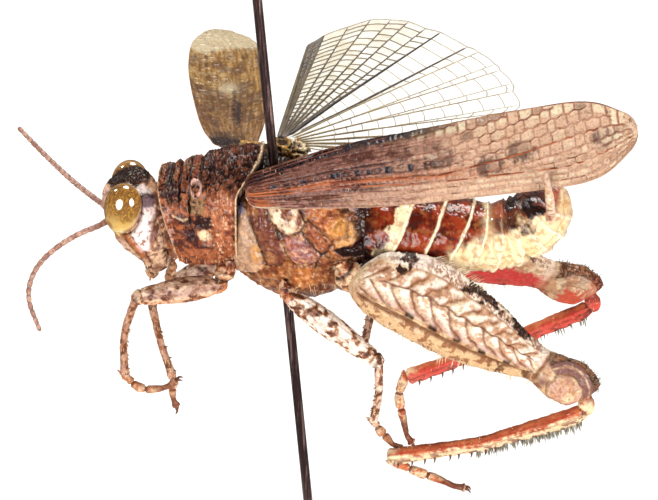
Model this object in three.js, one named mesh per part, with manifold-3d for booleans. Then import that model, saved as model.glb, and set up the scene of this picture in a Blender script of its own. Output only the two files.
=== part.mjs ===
// A pinned grasshopper, life size, as an insect collection keeps one: the left wings are closed along
// the body, the right wings are spread level, and the whole insect rides on its own steel pin, whose
// point stands in a small display block. Millimetres, +Z up. The head points to -X and the insect's
// left side to -Y. The origin is the middle of the block's underside.
import * as THREE from "three";
import { mergeVertices } from "three/addons/utils/BufferGeometryUtils.js";
import Module from "manifold-3d";

const wasm = await Module();
wasm.setup();

// ---- Driving dimensions ----
const BODY_HEIGHT = 27; // from the block's underside to the level that the insect is measured from
const GAP = 0.04; // between pieces that touch
const FEELER = 0.25; // radius of the thinnest legs and feelers, in solid form
const WING = 0.5; // thickness of a wing, in solid form
const BLOCK = { length: 26, width: 20, height: 6.5, edge: 0.8 };
const PIN = { radius: 0.25, top: [-3.64, 0, 14.9], tip: [-0.15, 0, -25], head: 0.62 };
const EYE = { at: [-10.18, 1.45, 2.68], size: [0.93, 0.82, 1.3], lean: 9 };

// ---- Colours ----
const finish = (color, roughness, metalness = 0) =>
  new THREE.MeshStandardMaterial({ color, roughness, metalness });
const FINISH = {
  cuticle: finish(0x8a5438, 0.55),
  crown: finish(0x3b2c22, 0.5),
  eye: finish(0xb07a20, 0.15),
  belly: finish(0x7a3a1c, 0.25),
  pale: finish(0xc8a078, 0.45),
  red: finish(0xc0392b, 0.35),
  wing: finish(0x8f6650, 0.5),
  fan: finish(0xd9cfae, 0.3),
  steel: finish(0x3a2524, 0.35, 0.9),
  block: finish(0xe9e6df, 0.7),
};

// ---- Helpers ----
const v3 = (p) => new THREE.Vector3(...p);
const smoothPath = (points) => new THREE.CatmullRomCurve3(points.map(v3), false, "centripetal");

/** A smooth function of 0..1 through evenly spaced values. */
const profile = (...values) => {
  const curve = new THREE.SplineCurve(values.map((value, i) => new THREE.Vector2(i, value)));
  return (t) => curve.getPoint(t).y;
};

/** An oval section: width to each side, above and below the path. fullness under 1 makes it boxier. */
const oval = (width, above, below = above, fullness = 1) => (t, turn) => {
  const s = Math.sin(2 * Math.PI * turn);
  const c = Math.cos(2 * Math.PI * turn);
  const shaped = (value) => Math.sign(value) * Math.abs(value) ** fullness;
  return [width(t) * shaped(s), (c > 0 ? above(t) : below(t)) * shaped(c)];
};

/** A section through named half-outline points, from the top down one side, mirrored to the other. */
const halfOutline = (points) => {
  const made = new Map();
  return (t, turn) => {
    if (!made.has(t)) {
      const half = points(t);
      const other = half.slice(1, -1).reverse().map(([side, up]) => [-side, up]);
      const loop = [...half, ...other].map(([side, up]) => new THREE.Vector3(side, up, 0));
      made.set(t, new THREE.CatmullRomCurve3(loop, true, "catmullrom", 0.5));
    }
    const at = made.get(t).getPoint(turn);
    return [at.x, at.y];
  };
};

/** A capped cylinder bent along a path, its section given by outline(t, turn) -> [side, up]. */
function formed(path, outline, { sides = 12, steps = 10, up = [0, 0, 1], shift = () => 0 } = {}) {
  const geometry = new THREE.CylinderGeometry(1, 1, 1, sides, steps);
  const position = geometry.getAttribute("position");
  const vertex = new THREE.Vector3();
  for (let i = 0; i < position.count; i++) {
    vertex.fromBufferAttribute(position, i);
    const t = THREE.MathUtils.clamp(0.5 - vertex.y, 0, 1);
    const turn = (Math.atan2(vertex.x, vertex.z) / (2 * Math.PI) + 1) % 1;
    const reach = Math.hypot(vertex.x, vertex.z) > 0.5 ? 1 : 0;
    const tangent = path.getTangentAt(t);
    const upward = v3(up).addScaledVector(tangent, -v3(up).dot(tangent)).normalize();
    const sideways = upward.clone().cross(tangent);
    const [side, rise] = outline(t, turn).map((value) => value * reach);
    vertex.copy(path.getPointAt(t)).addScaledVector(sideways, side).addScaledVector(upward, rise);
    vertex.addScaledVector(tangent, shift(t, rise));
    position.setXYZ(i, vertex.x, vertex.y, vertex.z);
  }
  return geometry;
}

/** A round tube of changing radius through points. */
const limb = (points, radii, options = {}) =>
  formed(smoothPath(points), oval(profile(...radii), profile(...(options.heights ?? radii))), {
    sides: 8,
    steps: 5,
    ...options,
  });

/** A box laid over a sheet: place(u, v, w) puts each point, u and v in 0..1 and w in -0.5..0.5. */
function slab(columns, rows, place) {
  const geometry = new THREE.BoxGeometry(1, 1, 1, columns, rows, 1);
  const position = geometry.getAttribute("position");
  for (let i = 0; i < position.count; i++) {
    const at = place(position.getX(i) + 0.5, position.getY(i) + 0.5, position.getZ(i));
    position.setXYZ(i, at.x, at.y, at.z);
  }
  return geometry;
}

/** A closed mesh's vertices, shared between its faces. */
function welded(geometry) {
  const bare = geometry.clone();
  bare.deleteAttribute("normal");
  bare.deleteAttribute("uv");
  return mergeVertices(bare, 1e-4);
}

/** The closed mesh as a solid that can be cut and joined. */
function solid(geometry) {
  const shared = welded(geometry);
  return new wasm.Manifold(
    new wasm.Mesh({
      numProp: 3,
      vertProperties: shared.getAttribute("position").array,
      triVerts: new Uint32Array(shared.index.array),
    }),
  );
}

/** The same solid, a gap larger all round, to cut a neighbour clear of it. */
function grown(geometry, gap) {
  const shared = welded(geometry);
  shared.computeVertexNormals();
  const position = shared.getAttribute("position");
  const normal = shared.getAttribute("normal");
  for (let i = 0; i < position.count; i++) {
    position.setXYZ(
      i,
      position.getX(i) + gap * normal.getX(i),
      position.getY(i) + gap * normal.getY(i),
      position.getZ(i) + gap * normal.getZ(i),
    );
  }
  return solid(shared);
}

const joined = (solids) => solids.reduce((all, next) => all.add(next));
const larger = (one, other) => (other.volume() > one.volume() ? other : one);
const largest = (made) => made.decompose().reduce(larger);

function geometryOf(made) {
  const mesh = made.getMesh();
  const position = new Float32Array(mesh.numVert * 3);
  for (let i = 0; i < mesh.numVert; i++) {
    position.set(mesh.vertProperties.subarray(i * mesh.numProp, i * mesh.numProp + 3), i * 3);
  }
  const geometry = new THREE.BufferGeometry();
  geometry.setAttribute("position", new THREE.BufferAttribute(position, 3));
  geometry.setIndex(new THREE.BufferAttribute(mesh.triVerts, 1));
  return geometry;
}

// ---- The pieces, in the order in which each is cut clear of the ones before it ----
const pieces = [];
const piece = (name, material, ...shapes) => pieces.push({ name, material, shapes });

// The insect pin, with its small round head. It leans a little towards the head of the insect.
const pinLine = new THREE.LineCurve3(v3(PIN.top), v3(PIN.tip));
const pinHead = new THREE.SphereGeometry(PIN.head, 8, 6).translate(PIN.top[0], PIN.top[1], PIN.top[2] + 0.2);
const pinWidth = (t) => PIN.radius * (t > 0.97 ? 0.35 : 1);
const pinShaft = formed(pinLine, oval(pinWidth, pinWidth), { sides: 8, steps: 12 });
piece("insect_pin", FINISH.steel, pinShaft, pinHead);

// ---- Head ----
const eyeAt = (side) => {
  const [x, y, z] = EYE.at;
  return new THREE.SphereGeometry(1, 12, 9)
    .scale(...EYE.size)
    .rotateY(THREE.MathUtils.degToRad(EYE.lean))
    .translate(x, side * y, z);
};
piece("eye_left", FINISH.eye, eyeAt(-1));
piece("eye_right", FINISH.eye, eyeAt(1));

// The capsule stands on the mouth: its path climbs from the mouth to the crown, and "above" the path
// is the face.
const headPath = smoothPath([
  [-8.75, 0, -1.35],
  [-8.85, 0, -0.4],
  [-9.5, 0, 1.1],
  [-9.75, 0, 2.4],
  [-9.7, 0, 3.4],
  [-9.55, 0, 4.25],
]);
const headHalfWidth = profile(0.85, 1.35, 1.72, 1.8, 1.5, 0.35);
const faceDepth = profile(0.38, 0.7, 1.2, 1.42, 1.45, 0.35);
const napeDepth = profile(0.7, 1.3, 1.55, 1.5, 1.4, 0.4);
piece("head", FINISH.crown, formed(headPath, oval(headHalfWidth, faceDepth, napeDepth, 0.95), {
  sides: 14,
  steps: 9,
  up: [-1, 0, 0],
}));

const LABRUM = [[-8.95, 0, -0.9], [-8.9, 0, -1.35], [-8.75, 0, -1.8]];
piece("labrum", FINISH.pale, limb(LABRUM, [0.75, 0.7, 0.42], { heights: [0.4, 0.36, 0.25], up: [-1, 0, 0] }));

const PALP = [[-8.1, 0.7, -1.2], [-7.9, 0.9, -1.65], [-8.3, 1.0, -2.1]];
for (const [name, side] of [["left", -1], ["right", 1]]) {
  const palp = PALP.map(([x, y, z]) => [x, side * y, z]);
  piece(`palp_${name}`, FINISH.pale, limb(palp, [FEELER, FEELER, FEELER], { sides: 6, steps: 4 }));
}

const ANTENNA_LEFT = [
  [-11.05, -0.75, 1.45],
  [-12.04, -1.6, 1.4],
  [-13.2, -2.4, 0.96],
  [-14.24, -3.0, 0.11],
  [-14.72, -3.4, -1.09],
  [-14.58, -3.6, -2.09],
  [-14.08, -3.8, -2.97],
];
const ANTENNA_RIGHT = [[-11.1, 0.65, 1.6], [-12.97, 2.0, 2.37], [-14.66, 3.4, 3.25], [-16.17, 4.6, 4.23]];
const antennaRadii = [0.3, FEELER, FEELER, FEELER, 0.22];
piece("antenna_left", FINISH.pale, limb(ANTENNA_LEFT, antennaRadii, { sides: 6, steps: 14 }));
piece("antenna_right", FINISH.pale, limb(ANTENNA_RIGHT, antennaRadii, { sides: 6, steps: 8 }));

// ---- Pronotum: the saddle, with a crest notched by three furrows and a pointed hind margin ----
const PRONOTUM = { front: -8.5, rear: -4.4, middle: 2.4, point: 1.2, frontSlant: 1.15 };
const crest = profile(1.5, 1.85, 1.75, 2.1, 2.0, 2.42, 2.3, 2.75, 2.85, 2.98, 3.1, 3.22, 3.33);
const shoulderHeight = profile(1.1, 1.3, 1.5, 1.55);
const shoulderWidth = profile(1.85, 1.92, 2.0, 2.12, 2.3, 2.38);
const lobeLow = profile(-2.5, -2.65, -2.5, -2.15);
const saddle = halfOutline((t) => {
  const top = crest(t);
  const shoulder = shoulderHeight(t);
  const w = shoulderWidth(t);
  const low = lobeLow(t);
  return [
    [0, top],
    [0.5 * w, top - 0.35 * (top - shoulder)],
    [w, shoulder],
    [1.03 * w, 0.4 * shoulder + 0.6 * low],
    [0.9 * w, low],
    [0.45 * w, low - 0.45],
    [0, low - 0.55],
  ];
});
const pronotumSlant = (t, rise) => {
  const forward = ((1.62 - rise) / 4.1) * PRONOTUM.frontSlant * (1 - t) ** 2;
  const pointed = PRONOTUM.point * THREE.MathUtils.smoothstep(rise, 1.2, 3.3) * t ** 3;
  return forward + pointed;
};
const pronotumLine = new THREE.LineCurve3(
  new THREE.Vector3(PRONOTUM.front, 0, PRONOTUM.middle),
  new THREE.Vector3(PRONOTUM.rear, 0, PRONOTUM.middle),
);
const pronotumGrid = { sides: 20, steps: 12, shift: pronotumSlant };
piece("pronotum", FINISH.cuticle, formed(pronotumLine, saddle, pronotumGrid));

// ---- Thorax and abdomen ----
const thoraxPath = new THREE.LineCurve3(new THREE.Vector3(-5.6, 0, 1.2), new THREE.Vector3(2.0, 0, 1.2));
const thoraxWidth = profile(1.8, 2.35, 2.6, 2.65, 2.5, 1.9);
const thoraxAbove = profile(2.4, 3.4, 3.5, 3.25, 2.75, 2.0);
const thoraxBelow = profile(1.5, 2.4, 3.4, 3.6, 3.1, 2.0);
piece("thorax", FINISH.cuticle, formed(thoraxPath, oval(thoraxWidth, thoraxAbove, thoraxBelow, 0.8), {
  sides: 16,
  steps: 9,
}));

const ABDOMEN = smoothPath([
  [1.9, 0, 1.05],
  [3.6, 0, 1.1],
  [6, 0, 1.1],
  [8, 0, 1.0],
  [9.6, 0, 1.5],
  [10.6, 0, 2.25],
  [11.2, 0, 3.0],
  [11.45, 0, 3.85],
]);
const abdomenWidth = profile(1.9, 2.0, 1.98, 1.92, 1.75, 1.7, 1.45, 0.5);
const abdomenDepth = profile(1.95, 2.0, 1.98, 1.9, 1.7, 1.72, 1.45, 0.5);

/** One length of the abdomen, from one place on its path to another. */
function abdomenLength(start, end, steps) {
  const place = (t) => THREE.MathUtils.lerp(start, end, t);
  const stretch = {
    getPointAt: (t) => ABDOMEN.getPointAt(place(t)),
    getTangentAt: (t) => ABDOMEN.getTangentAt(place(t)),
  };
  const section = oval((t) => abdomenWidth(place(t)), (t) => abdomenDepth(place(t)));
  return formed(stretch, section, { sides: 16, steps });
}
piece("abdomen", FINISH.belly, abdomenLength(0, 0.7, 10));
piece("abdomen_tip", FINISH.belly, abdomenLength(0.7, 1, 7));
const CERCUS_LEFT = [[11.05, -1.45, 3.05], [10.95, -2.9, 4.7], [10.75, -3.4, 6.1]];
piece("cercus_left", FINISH.pale, limb(CERCUS_LEFT, [FEELER, FEELER, 0.2]));
const CERCUS_RIGHT = [[11.0, 1.3, 2.9], [11.3, 1.75, 3.4], [11.5, 2.0, 3.9]];
piece("cercus_right", FINISH.pale, limb(CERCUS_RIGHT, [FEELER, FEELER, 0.2]));

// ---- Legs: "upper" runs from the root of the coxa through the trochanter to the knee ----
const FORE = {
  coxa: [0.6, 0.57, 0.45],
  femur: [0.4, 0.6, 0.64, 0.5, 0.38],
  tibia: [0.3, 0.26, 0.26, 0.28],
  foot: 0.26,
};
const MIDDLE = {
  coxa: [0.62, 0.59, 0.46],
  femur: [0.42, 0.6, 0.62, 0.48, 0.38],
  tibia: [0.32, 0.27, 0.27, 0.28],
  foot: 0.26,
};
const LEGS = {
  fore_left: {
    ...FORE,
    upper: [[-4.9, -1.6, 0.3], [-5.15, -2.5, -0.85], [-9.3, -3.2, -1.4]],
    shin: [[-9.4, -3.2, -1.55], [-10.0, -3.3, -3.45], [-10.0, -3.4, -5.45]],
    toes: [[-9.6, -3.4, -6.15], [-8.75, -3.4, -6.43], [-7.85, -3.3, -6.25]],
  },
  fore_right: {
    ...FORE,
    upper: [[-4.9, 1.5, 0.3], [-5.35, 2.0, -1.45], [-9.25, 2.1, -4.1]],
    shin: [[-9.2, 2.1, -4.3], [-8.85, 2.1, -6.35], [-8.3, 2.2, -8.3]],
    toes: [[-8.2, 2.2, -8.75], [-8.25, 2.2, -9.25], [-8.25, 2.2, -9.8]],
  },
  middle_left: {
    ...MIDDLE,
    upper: [[-2.1, -1.8, -0.7], [-1.75, -2.5, -1.45], [2.7, -3.6, -4.35]],
    shin: [[2.7, -3.6, -4.45], [2.75, -3.7, -6.0], [2.5, -3.8, -7.5]],
    toes: [[2.75, -3.8, -8.0], [3.1, -3.8, -8.4], [3.5, -3.8, -8.9]],
  },
  middle_right: {
    ...MIDDLE,
    upper: [[-2.1, 1.7, -0.7], [-1.9, 2.4, -1.5], [2.0, 4.5, -4.55]],
    shin: [[2.0, 4.4, -4.7], [1.85, 3.0, -5.4], [1.7, 1.35, -5.85]],
    toes: [[1.8, 0.8, -5.95], [2.0, 0.4, -5.9], [2.3, 0.0, -5.75]],
  },
};

/** Two hooked claws at the end of a foot, splayed to its sides. */
function claws(foot, radius) {
  const end = v3(foot.at(-1));
  const forward = end.clone().sub(v3(foot.at(-2))).normalize();
  const sideways = new THREE.Vector3(0, 1, 0);
  const drop = forward.clone().cross(sideways).normalize();
  return [-1, 1].map((side) => {
    const root = end.clone().addScaledVector(forward, -0.1);
    const tip = end.clone().addScaledVector(forward, 0.4).addScaledVector(drop, 0.2);
    tip.addScaledVector(sideways, side * 0.3);
    const thin = (t) => radius * (0.75 - 0.4 * t);
    return formed(new THREE.LineCurve3(root, tip), oval(thin, thin), { sides: 5, steps: 1, up: [0, 1, 0.2] });
  });
}

for (const [name, leg] of Object.entries(LEGS)) {
  const [root, trochanter, knee] = leg.upper;
  const foot = [leg.shin.at(-1), ...leg.toes];
  const slim = { sides: 6, steps: 5, up: [0, 1, 0] };
  const sole = limb(foot, [leg.foot, leg.foot, leg.foot], slim);
  piece(`${name}_coxa`, FINISH.cuticle, limb([root, trochanter], leg.coxa, slim));
  piece(`${name}_femur`, FINISH.pale, limb([trochanter, knee], leg.femur, { sides: 8, steps: 6 }));
  piece(`${name}_tibia`, FINISH.pale, limb(leg.shin, leg.tibia, slim));
  piece(`${name}_foot`, FINISH.pale, sole, ...claws(foot, leg.foot));
}

// The jumping legs: a deep flat thigh, a waisted knee, and a shin with two rows of spines. The thigh's
// depth is measured above and below a straight line from its root to the back of its knee.
const THIGH = {
  above: [0.55, 2.1, 2.72, 2.9, 2.84, 2.5, 2.2, 1.75, 1.12, 0.66, 0.7, 0.78, 0.25],
  below: [0.5, 1.2, 1.47, 1.58, 1.72, 1.8, 1.76, 1.62, 1.4, 1.12, 1.7, 1.74, 0.4],
  thickness: [0.45, 0.85, 0.95, 0.95, 0.9, 0.82, 0.7, 0.6, 0.5, 0.52, 0.62, 0.6, 0.25],
};
const SHIN = profile(0.42, 0.46, 0.4, 0.38, 0.4, 0.46);
const HIND_FOOT = [0.34, 0.28, 0.28, 0.26];
const SPINE = { count: 7, length: 0.5, radius: 0.13 };
const HIND = {
  hind_left: {
    root: [0.9, -1.9, -0.1],
    thigh: [[1.2, -2.9, -0.25], [13.7, -4.3, -4.95]],
    shin: [[13.1, -4.3, -5.65], [13.1, -4.3, -6.3], [12, -4.3, -6.85], [8, -4.3, -8.35], [3.2, -4.3, -9.3]],
    toes: [[4.4, -4.3, -9.95], [5.9, -4.3, -10.5], [6.7, -4.3, -10.9]],
    lean: [0, 0.42, 0.9],
  },
  hind_right: {
    root: [0.9, 1.9, -0.1],
    thigh: [[1.2, 2.9, 0.1], [13.75, 5.9, -4.3]],
    shin: [[13.3, 5.9, -4.9], [13.3, 5.9, -5.5], [12.3, 5.85, -6], [8, 5.4, -7.9], [3.7, 5, -9.5]],
    toes: [[3.3, 5.0, -10.4], [3.5, 5.0, -11.7], [3.75, 5.0, -13.0]],
    lean: [0, -0.2, 0.98],
  },
};

/** Spines in two rows along the hind edge of a shin, pointing away from the thigh and to the foot. */
function spines(path) {
  const sideways = new THREE.Vector3(0, 1, 0);
  return Array.from({ length: 2 * SPINE.count }, (_, i) => {
    const side = i % 2 ? 1 : -1;
    const t = THREE.MathUtils.lerp(0.4, 0.95, Math.floor(i / 2) / (SPINE.count - 1));
    const along = path.getTangentAt(t);
    const out = along.clone().cross(sideways).normalize();
    const root = path.getPointAt(t).addScaledVector(out, 0.2).addScaledVector(sideways, side * 0.14);
    const tip = root.clone().addScaledVector(out, SPINE.length).addScaledVector(sideways, side * 0.2);
    tip.addScaledVector(along, 0.35 * SPINE.length);
    const thin = (u) => SPINE.radius * (1 - 0.75 * u);
    return formed(new THREE.LineCurve3(root, tip), oval(thin, thin), { sides: 4, steps: 1, up: [1, 0, 0.3] });
  });
}

for (const [name, leg] of Object.entries(HIND)) {
  const [hip, knee] = leg.thigh.map(v3);
  const socket = hip.clone().lerp(knee, 0.03).toArray();
  piece(`${name}_coxa`, FINISH.cuticle, limb([leg.root, socket], [0.85, 0.85, 0.6]));
  const thigh = oval(profile(...THIGH.thickness), profile(...THIGH.above), profile(...THIGH.below), 0.9);
  const thighLine = new THREE.LineCurve3(hip, knee);
  piece(`${name}_femur`, FINISH.pale, formed(thighLine, thigh, { sides: 10, steps: 12, up: leg.lean }));
  const shinPath = smoothPath(leg.shin);
  const shin = formed(shinPath, oval(SHIN, SHIN), { sides: 6, steps: 10, up: [0, 1, 0] });
  piece(`${name}_tibia`, FINISH.red, shin, ...spines(shinPath));
  const foot = [leg.shin.at(-1), ...leg.toes];
  const sole = limb(foot, HIND_FOOT, { sides: 6, steps: 7, up: [0, 1, 0] });
  piece(`${name}_foot`, FINISH.red, sole, ...claws(foot, HIND_FOOT.at(-1)));
}

// ---- Wings ----
const FLAT_RIBS = 3; // strips across a forewing, before the rolled one

/** A long narrow wing beside a straight line from its root to its tip. Its breadth runs from the low
 *  edge to the high edge, and a last strip beyond the high edge is rolled over to lie flat. */
const forewing = ({ root, tip, across, edges: [low, high], arch, rolled = 0 }) => {
  const axis = new THREE.LineCurve3(v3(root), v3(tip));
  const along = axis.getTangentAt(0);
  const wide = v3(across).addScaledVector(along, -v3(across).dot(along)).normalize();
  const outward = along.clone().cross(wide);
  return slab(12, FLAT_RIBS + 1, (u, v, w) => {
    const station = 1 - (1 - u) ** 1.35;
    const rib = v * (FLAT_RIBS + 1);
    const breadth = Math.min(1, rib / FLAT_RIBS);
    const roll = Math.max(0, rib - FLAT_RIBS);
    const bulge = arch * Math.sin(Math.PI * breadth) * Math.sin(Math.PI * Math.min(1, 0.15 + station));
    return axis
      .getPointAt(station)
      .addScaledVector(wide, THREE.MathUtils.lerp(-low(station), high(station) + 0.05 * roll, breadth))
      .addScaledVector(outward, w * WING + bulge - rolled * roll * Math.sin(Math.PI * station));
  });
};
piece("forewing_left", FINISH.wing, forewing({
  root: [-4.15, -2.35, 4.1],
  tip: [15.3, -1.9, 7.7],
  across: [0, 0.38, 0.93],
  edges: [
    profile(0.7, 1.1, 1.35, 1.6, 1.78, 1.85, 1.93, 2.0, 2.03, 1.85, 0.35),
    profile(0.6, 0.95, 1.3, 1.5, 1.55, 1.65, 1.75, 1.82, 1.85, 1.75, 0.6),
  ],
  arch: 0.45,
  rolled: 0.5,
}));
piece("forewing_right", FINISH.wing, forewing({
  root: [-4.75, 2.4, 4.5],
  tip: [-7.35, 20.25, 3.6],
  across: [-1, -0.12, 0],
  edges: [
    profile(0.9, 1.3, 1.6, 1.8, 1.95, 2.05, 2.12, 2.15, 2.05, 1.6, 0.3),
    profile(1.0, 1.5, 1.7, 1.8, 1.88, 1.93, 1.95, 1.9, 1.75, 1.5, 0.6),
  ],
  arch: -0.35,
}));

// The spread hind wing is a pleated fan that turns about its root; the other lies folded.
const FAN = { root: [-2.75, 2.35, 4.72], hub: 0.5, start: 3, sweep: 100, rise: 0.035, pleats: 9, depth: 0.14 };
const fanReach = profile(13.6, 16.9, 16.2, 15.3, 14.3, 13.2, 12.0, 10.8, 9.2);
piece("hindwing_right", FINISH.fan, slab(2 * FAN.pleats, 3, (u, v, w) => {
  const turn = THREE.MathUtils.degToRad(FAN.start + FAN.sweep * u);
  const reach = FAN.hub + v * (fanReach(u) - FAN.hub);
  const fold = Math.abs(((u * FAN.pleats) % 1) - 0.5) * 4 - 1;
  return v3(FAN.root).add(new THREE.Vector3(
    reach * Math.sin(turn),
    reach * Math.cos(turn),
    reach * FAN.rise * Math.cos(turn) + FAN.depth * fold * v + w * WING,
  ));
}));
const foldedLine = new THREE.LineCurve3(v3([-2.2, -1.5, 4.6]), v3([13.2, -0.75, 6.9]));
const foldedHalfWidth = profile(0.4, 0.85, 1.0, 1.0, 0.85, 0.3);
const foldedAcross = new THREE.Vector3(0, 0.5, 0.87);
const foldedOutward = new THREE.Vector3(0, -0.87, 0.5);
piece("hindwing_left", FINISH.fan, slab(10, 2, (u, v, w) => foldedLine
  .getPointAt(u)
  .addScaledVector(foldedAcross, (2 * v - 1) * foldedHalfWidth(u))
  .addScaledVector(foldedOutward, w * WING)));

// ---- Build: each piece is cleared of the pieces before it, and keeps its largest body ----
const insect = new THREE.Group();
insect.position.z = BODY_HEIGHT;
const cutters = [];
for (const { name, material, shapes } of pieces) {
  let made = joined(shapes.map(solid));
  for (const cutter of cutters) {
    made = made.subtract(cutter);
  }
  made = largest(made);
  cutters.push(...shapes.map((shape) => grown(shape, GAP)));
  const mesh = new THREE.Mesh(geometryOf(made), material);
  mesh.name = name;
  insect.add(mesh);
}

// The display block, with a hole for the pin's point.
const halfLength = BLOCK.length / 2;
const halfWidth = BLOCK.width / 2;
const footprint = new THREE.Shape([
  [halfLength - BLOCK.edge, -halfWidth],
  [halfLength, BLOCK.edge - halfWidth],
  [halfLength, halfWidth - BLOCK.edge],
  [halfLength - BLOCK.edge, halfWidth],
  [BLOCK.edge - halfLength, halfWidth],
  [-halfLength, halfWidth - BLOCK.edge],
  [-halfLength, BLOCK.edge - halfWidth],
  [BLOCK.edge - halfLength, -halfWidth],
].map(([x, y]) => new THREE.Vector2(x, y)));
const blockShape = new THREE.ExtrudeGeometry(footprint, { depth: BLOCK.height, bevelEnabled: false });
const pinInBlock = grown(pinShaft.clone().translate(0, 0, BODY_HEIGHT), GAP);
const block = new THREE.Mesh(geometryOf(solid(blockShape).subtract(pinInBlock)), FINISH.block);
block.name = "stand_base";

const grasshopper = new THREE.Group();
grasshopper.add(insect, block);
export default grasshopper;
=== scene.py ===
# %% [markdown]
# # A pinned grasshopper
# A collector dries a grasshopper on a steel pin: the left wings stay closed along the body and the
# right wings are spread. This script dresses the solids of such a specimen with real surfaces:
# sculpted shell plates, netted wings, segmented feelers and feet, spines and hairs.
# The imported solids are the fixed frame. Each piece below is laid over the solid that it stands for, so
# nothing has to be fitted afterwards. Lengths are in millimetres, with heights measured from the
# insect's own level, until a mesh is made.

import bmesh
import bpy
import numpy as np
from mathutils import Matrix, Vector
from mathutils.bvhtree import BVHTree


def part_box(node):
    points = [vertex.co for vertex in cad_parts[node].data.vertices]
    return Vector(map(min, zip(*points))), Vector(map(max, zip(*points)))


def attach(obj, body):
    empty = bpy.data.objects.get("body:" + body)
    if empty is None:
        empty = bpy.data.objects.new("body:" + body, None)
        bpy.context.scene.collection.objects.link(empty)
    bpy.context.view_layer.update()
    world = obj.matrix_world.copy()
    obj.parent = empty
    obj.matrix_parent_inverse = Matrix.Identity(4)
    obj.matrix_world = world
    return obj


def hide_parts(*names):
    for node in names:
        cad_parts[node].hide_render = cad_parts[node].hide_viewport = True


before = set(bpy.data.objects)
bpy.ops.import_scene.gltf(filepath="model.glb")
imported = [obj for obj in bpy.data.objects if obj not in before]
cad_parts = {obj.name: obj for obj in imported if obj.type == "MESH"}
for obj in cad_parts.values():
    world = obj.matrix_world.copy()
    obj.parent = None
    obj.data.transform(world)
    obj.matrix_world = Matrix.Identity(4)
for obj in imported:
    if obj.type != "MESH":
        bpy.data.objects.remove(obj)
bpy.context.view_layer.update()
MM = 0.001  # one millimetre in metres
LEVEL = 27.0  # the insect's own level, in millimetres above the floor
random = np.random.default_rng(7)
print("nodes in the frame:", len(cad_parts))

# %% [markdown]
# The camera looks at the insect's left side from a little above, with a long lens, as a collection
# camera does. From farther away the near legs don't look larger than the far ones.

# %% Camera
LOOK_AT = Vector((0, 0, LEVEL))
CAMERA = {"azimuth": 4, "elevation": 25, "distance": 200, "lens": 218.8}


def away(azimuth, elevation):
    """The direction from the insect to something at that azimuth and elevation."""
    a, e = np.radians(azimuth), np.radians(elevation)
    return Vector((np.sin(a) * np.cos(e), -np.cos(a) * np.cos(e), np.sin(e)))


def stand(thing, azimuth, elevation, distance):
    """Puts a camera or lamp there, facing the insect."""
    out = away(azimuth, elevation)
    thing.location = (LOOK_AT + out * distance) * MM
    thing.rotation_euler = out.to_track_quat("Z", "Y").to_euler()
    bpy.context.scene.collection.objects.link(thing)


camera = bpy.data.objects.new("camera", bpy.data.cameras.new("camera"))
camera.data.lens = CAMERA["lens"]
camera.data.clip_start = 0.01
stand(camera, CAMERA["azimuth"], CAMERA["elevation"], CAMERA["distance"])
bpy.context.scene.camera = camera
print("camera at", [round(x, 3) for x in camera.location])

# %% [markdown]
# Small shiny things look best under soft boxes: a broad one behind and above, a small one at the left,
# and two wide ones low in front, which put the two bright points in the eye. A pale world fills the
# shadows.

# %% Light
bpy.context.scene.view_settings.view_transform = "Standard"
world = bpy.data.worlds.new("studio")
world.use_nodes = True
world.node_tree.nodes["Background"].inputs["Color"].default_value = (1, 1, 1, 1)
world.node_tree.nodes["Background"].inputs["Strength"].default_value = 0.2
bpy.context.scene.world = world


def soft_box(name, azimuth, elevation, size, power, distance=220):
    """A round area light that faces the insect."""
    light = bpy.data.lights.new(name, "AREA")
    light.shape = "DISK"
    light.size = size * MM
    light.energy = power
    stand(bpy.data.objects.new(name, light), azimuth, elevation, distance)


soft_box("top_box", azimuth=165, elevation=66, size=110, power=0.47)
soft_box("left_box", azimuth=-105, elevation=42, size=40, power=0.16)
soft_box("flash_left", azimuth=-21, elevation=6, size=150, power=0.5)
soft_box("flash_right", azimuth=52, elevation=6, size=122, power=0.41)
print("lights:", len(bpy.data.lights))

# %% [markdown]
# Finishes are written as expressions. A Signal is one output of a shader node, and arithmetic on it adds
# Math nodes. A Finish is one material: its node method makes every other kind of node.

# %% Shader signals and finishes
class Signal:
    """One output of a shader node."""

    def __init__(self, finish, socket):
        self.finish, self.socket = finish, socket

    def math(self, operation, *values):
        return self.finish.node("ShaderNodeMath", {"operation": operation}, dict(enumerate(values)))

    def __add__(self, other):
        return self.math("ADD", self, other)

    def __sub__(self, other):
        return self.math("SUBTRACT", self, other)

    def __rsub__(self, other):
        return self.math("SUBTRACT", other, self)

    def __mul__(self, other):
        return self.math("MULTIPLY", self, other)

    __radd__, __rmul__ = __add__, __mul__

    def span(self, low, high, start=0.0, end=1.0):
        """Runs smoothly from start to end while the signal runs from low to high."""
        smooth = {"interpolation_type": "SMOOTHSTEP"}
        values = {0: self, 1: low, 2: high, 3: start, 4: end}
        return self.finish.node("ShaderNodeMapRange", smooth, values)


def rgb(code):
    """A colour code, such as 0x8A5438, as linear light."""
    parts = np.array([code >> 16 & 255, code >> 8 & 255, code & 255]) / 255
    return (*np.where(parts < 0.04045, parts / 12.92, ((parts + 0.055) / 1.055) ** 2.4), 1.0)


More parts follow.
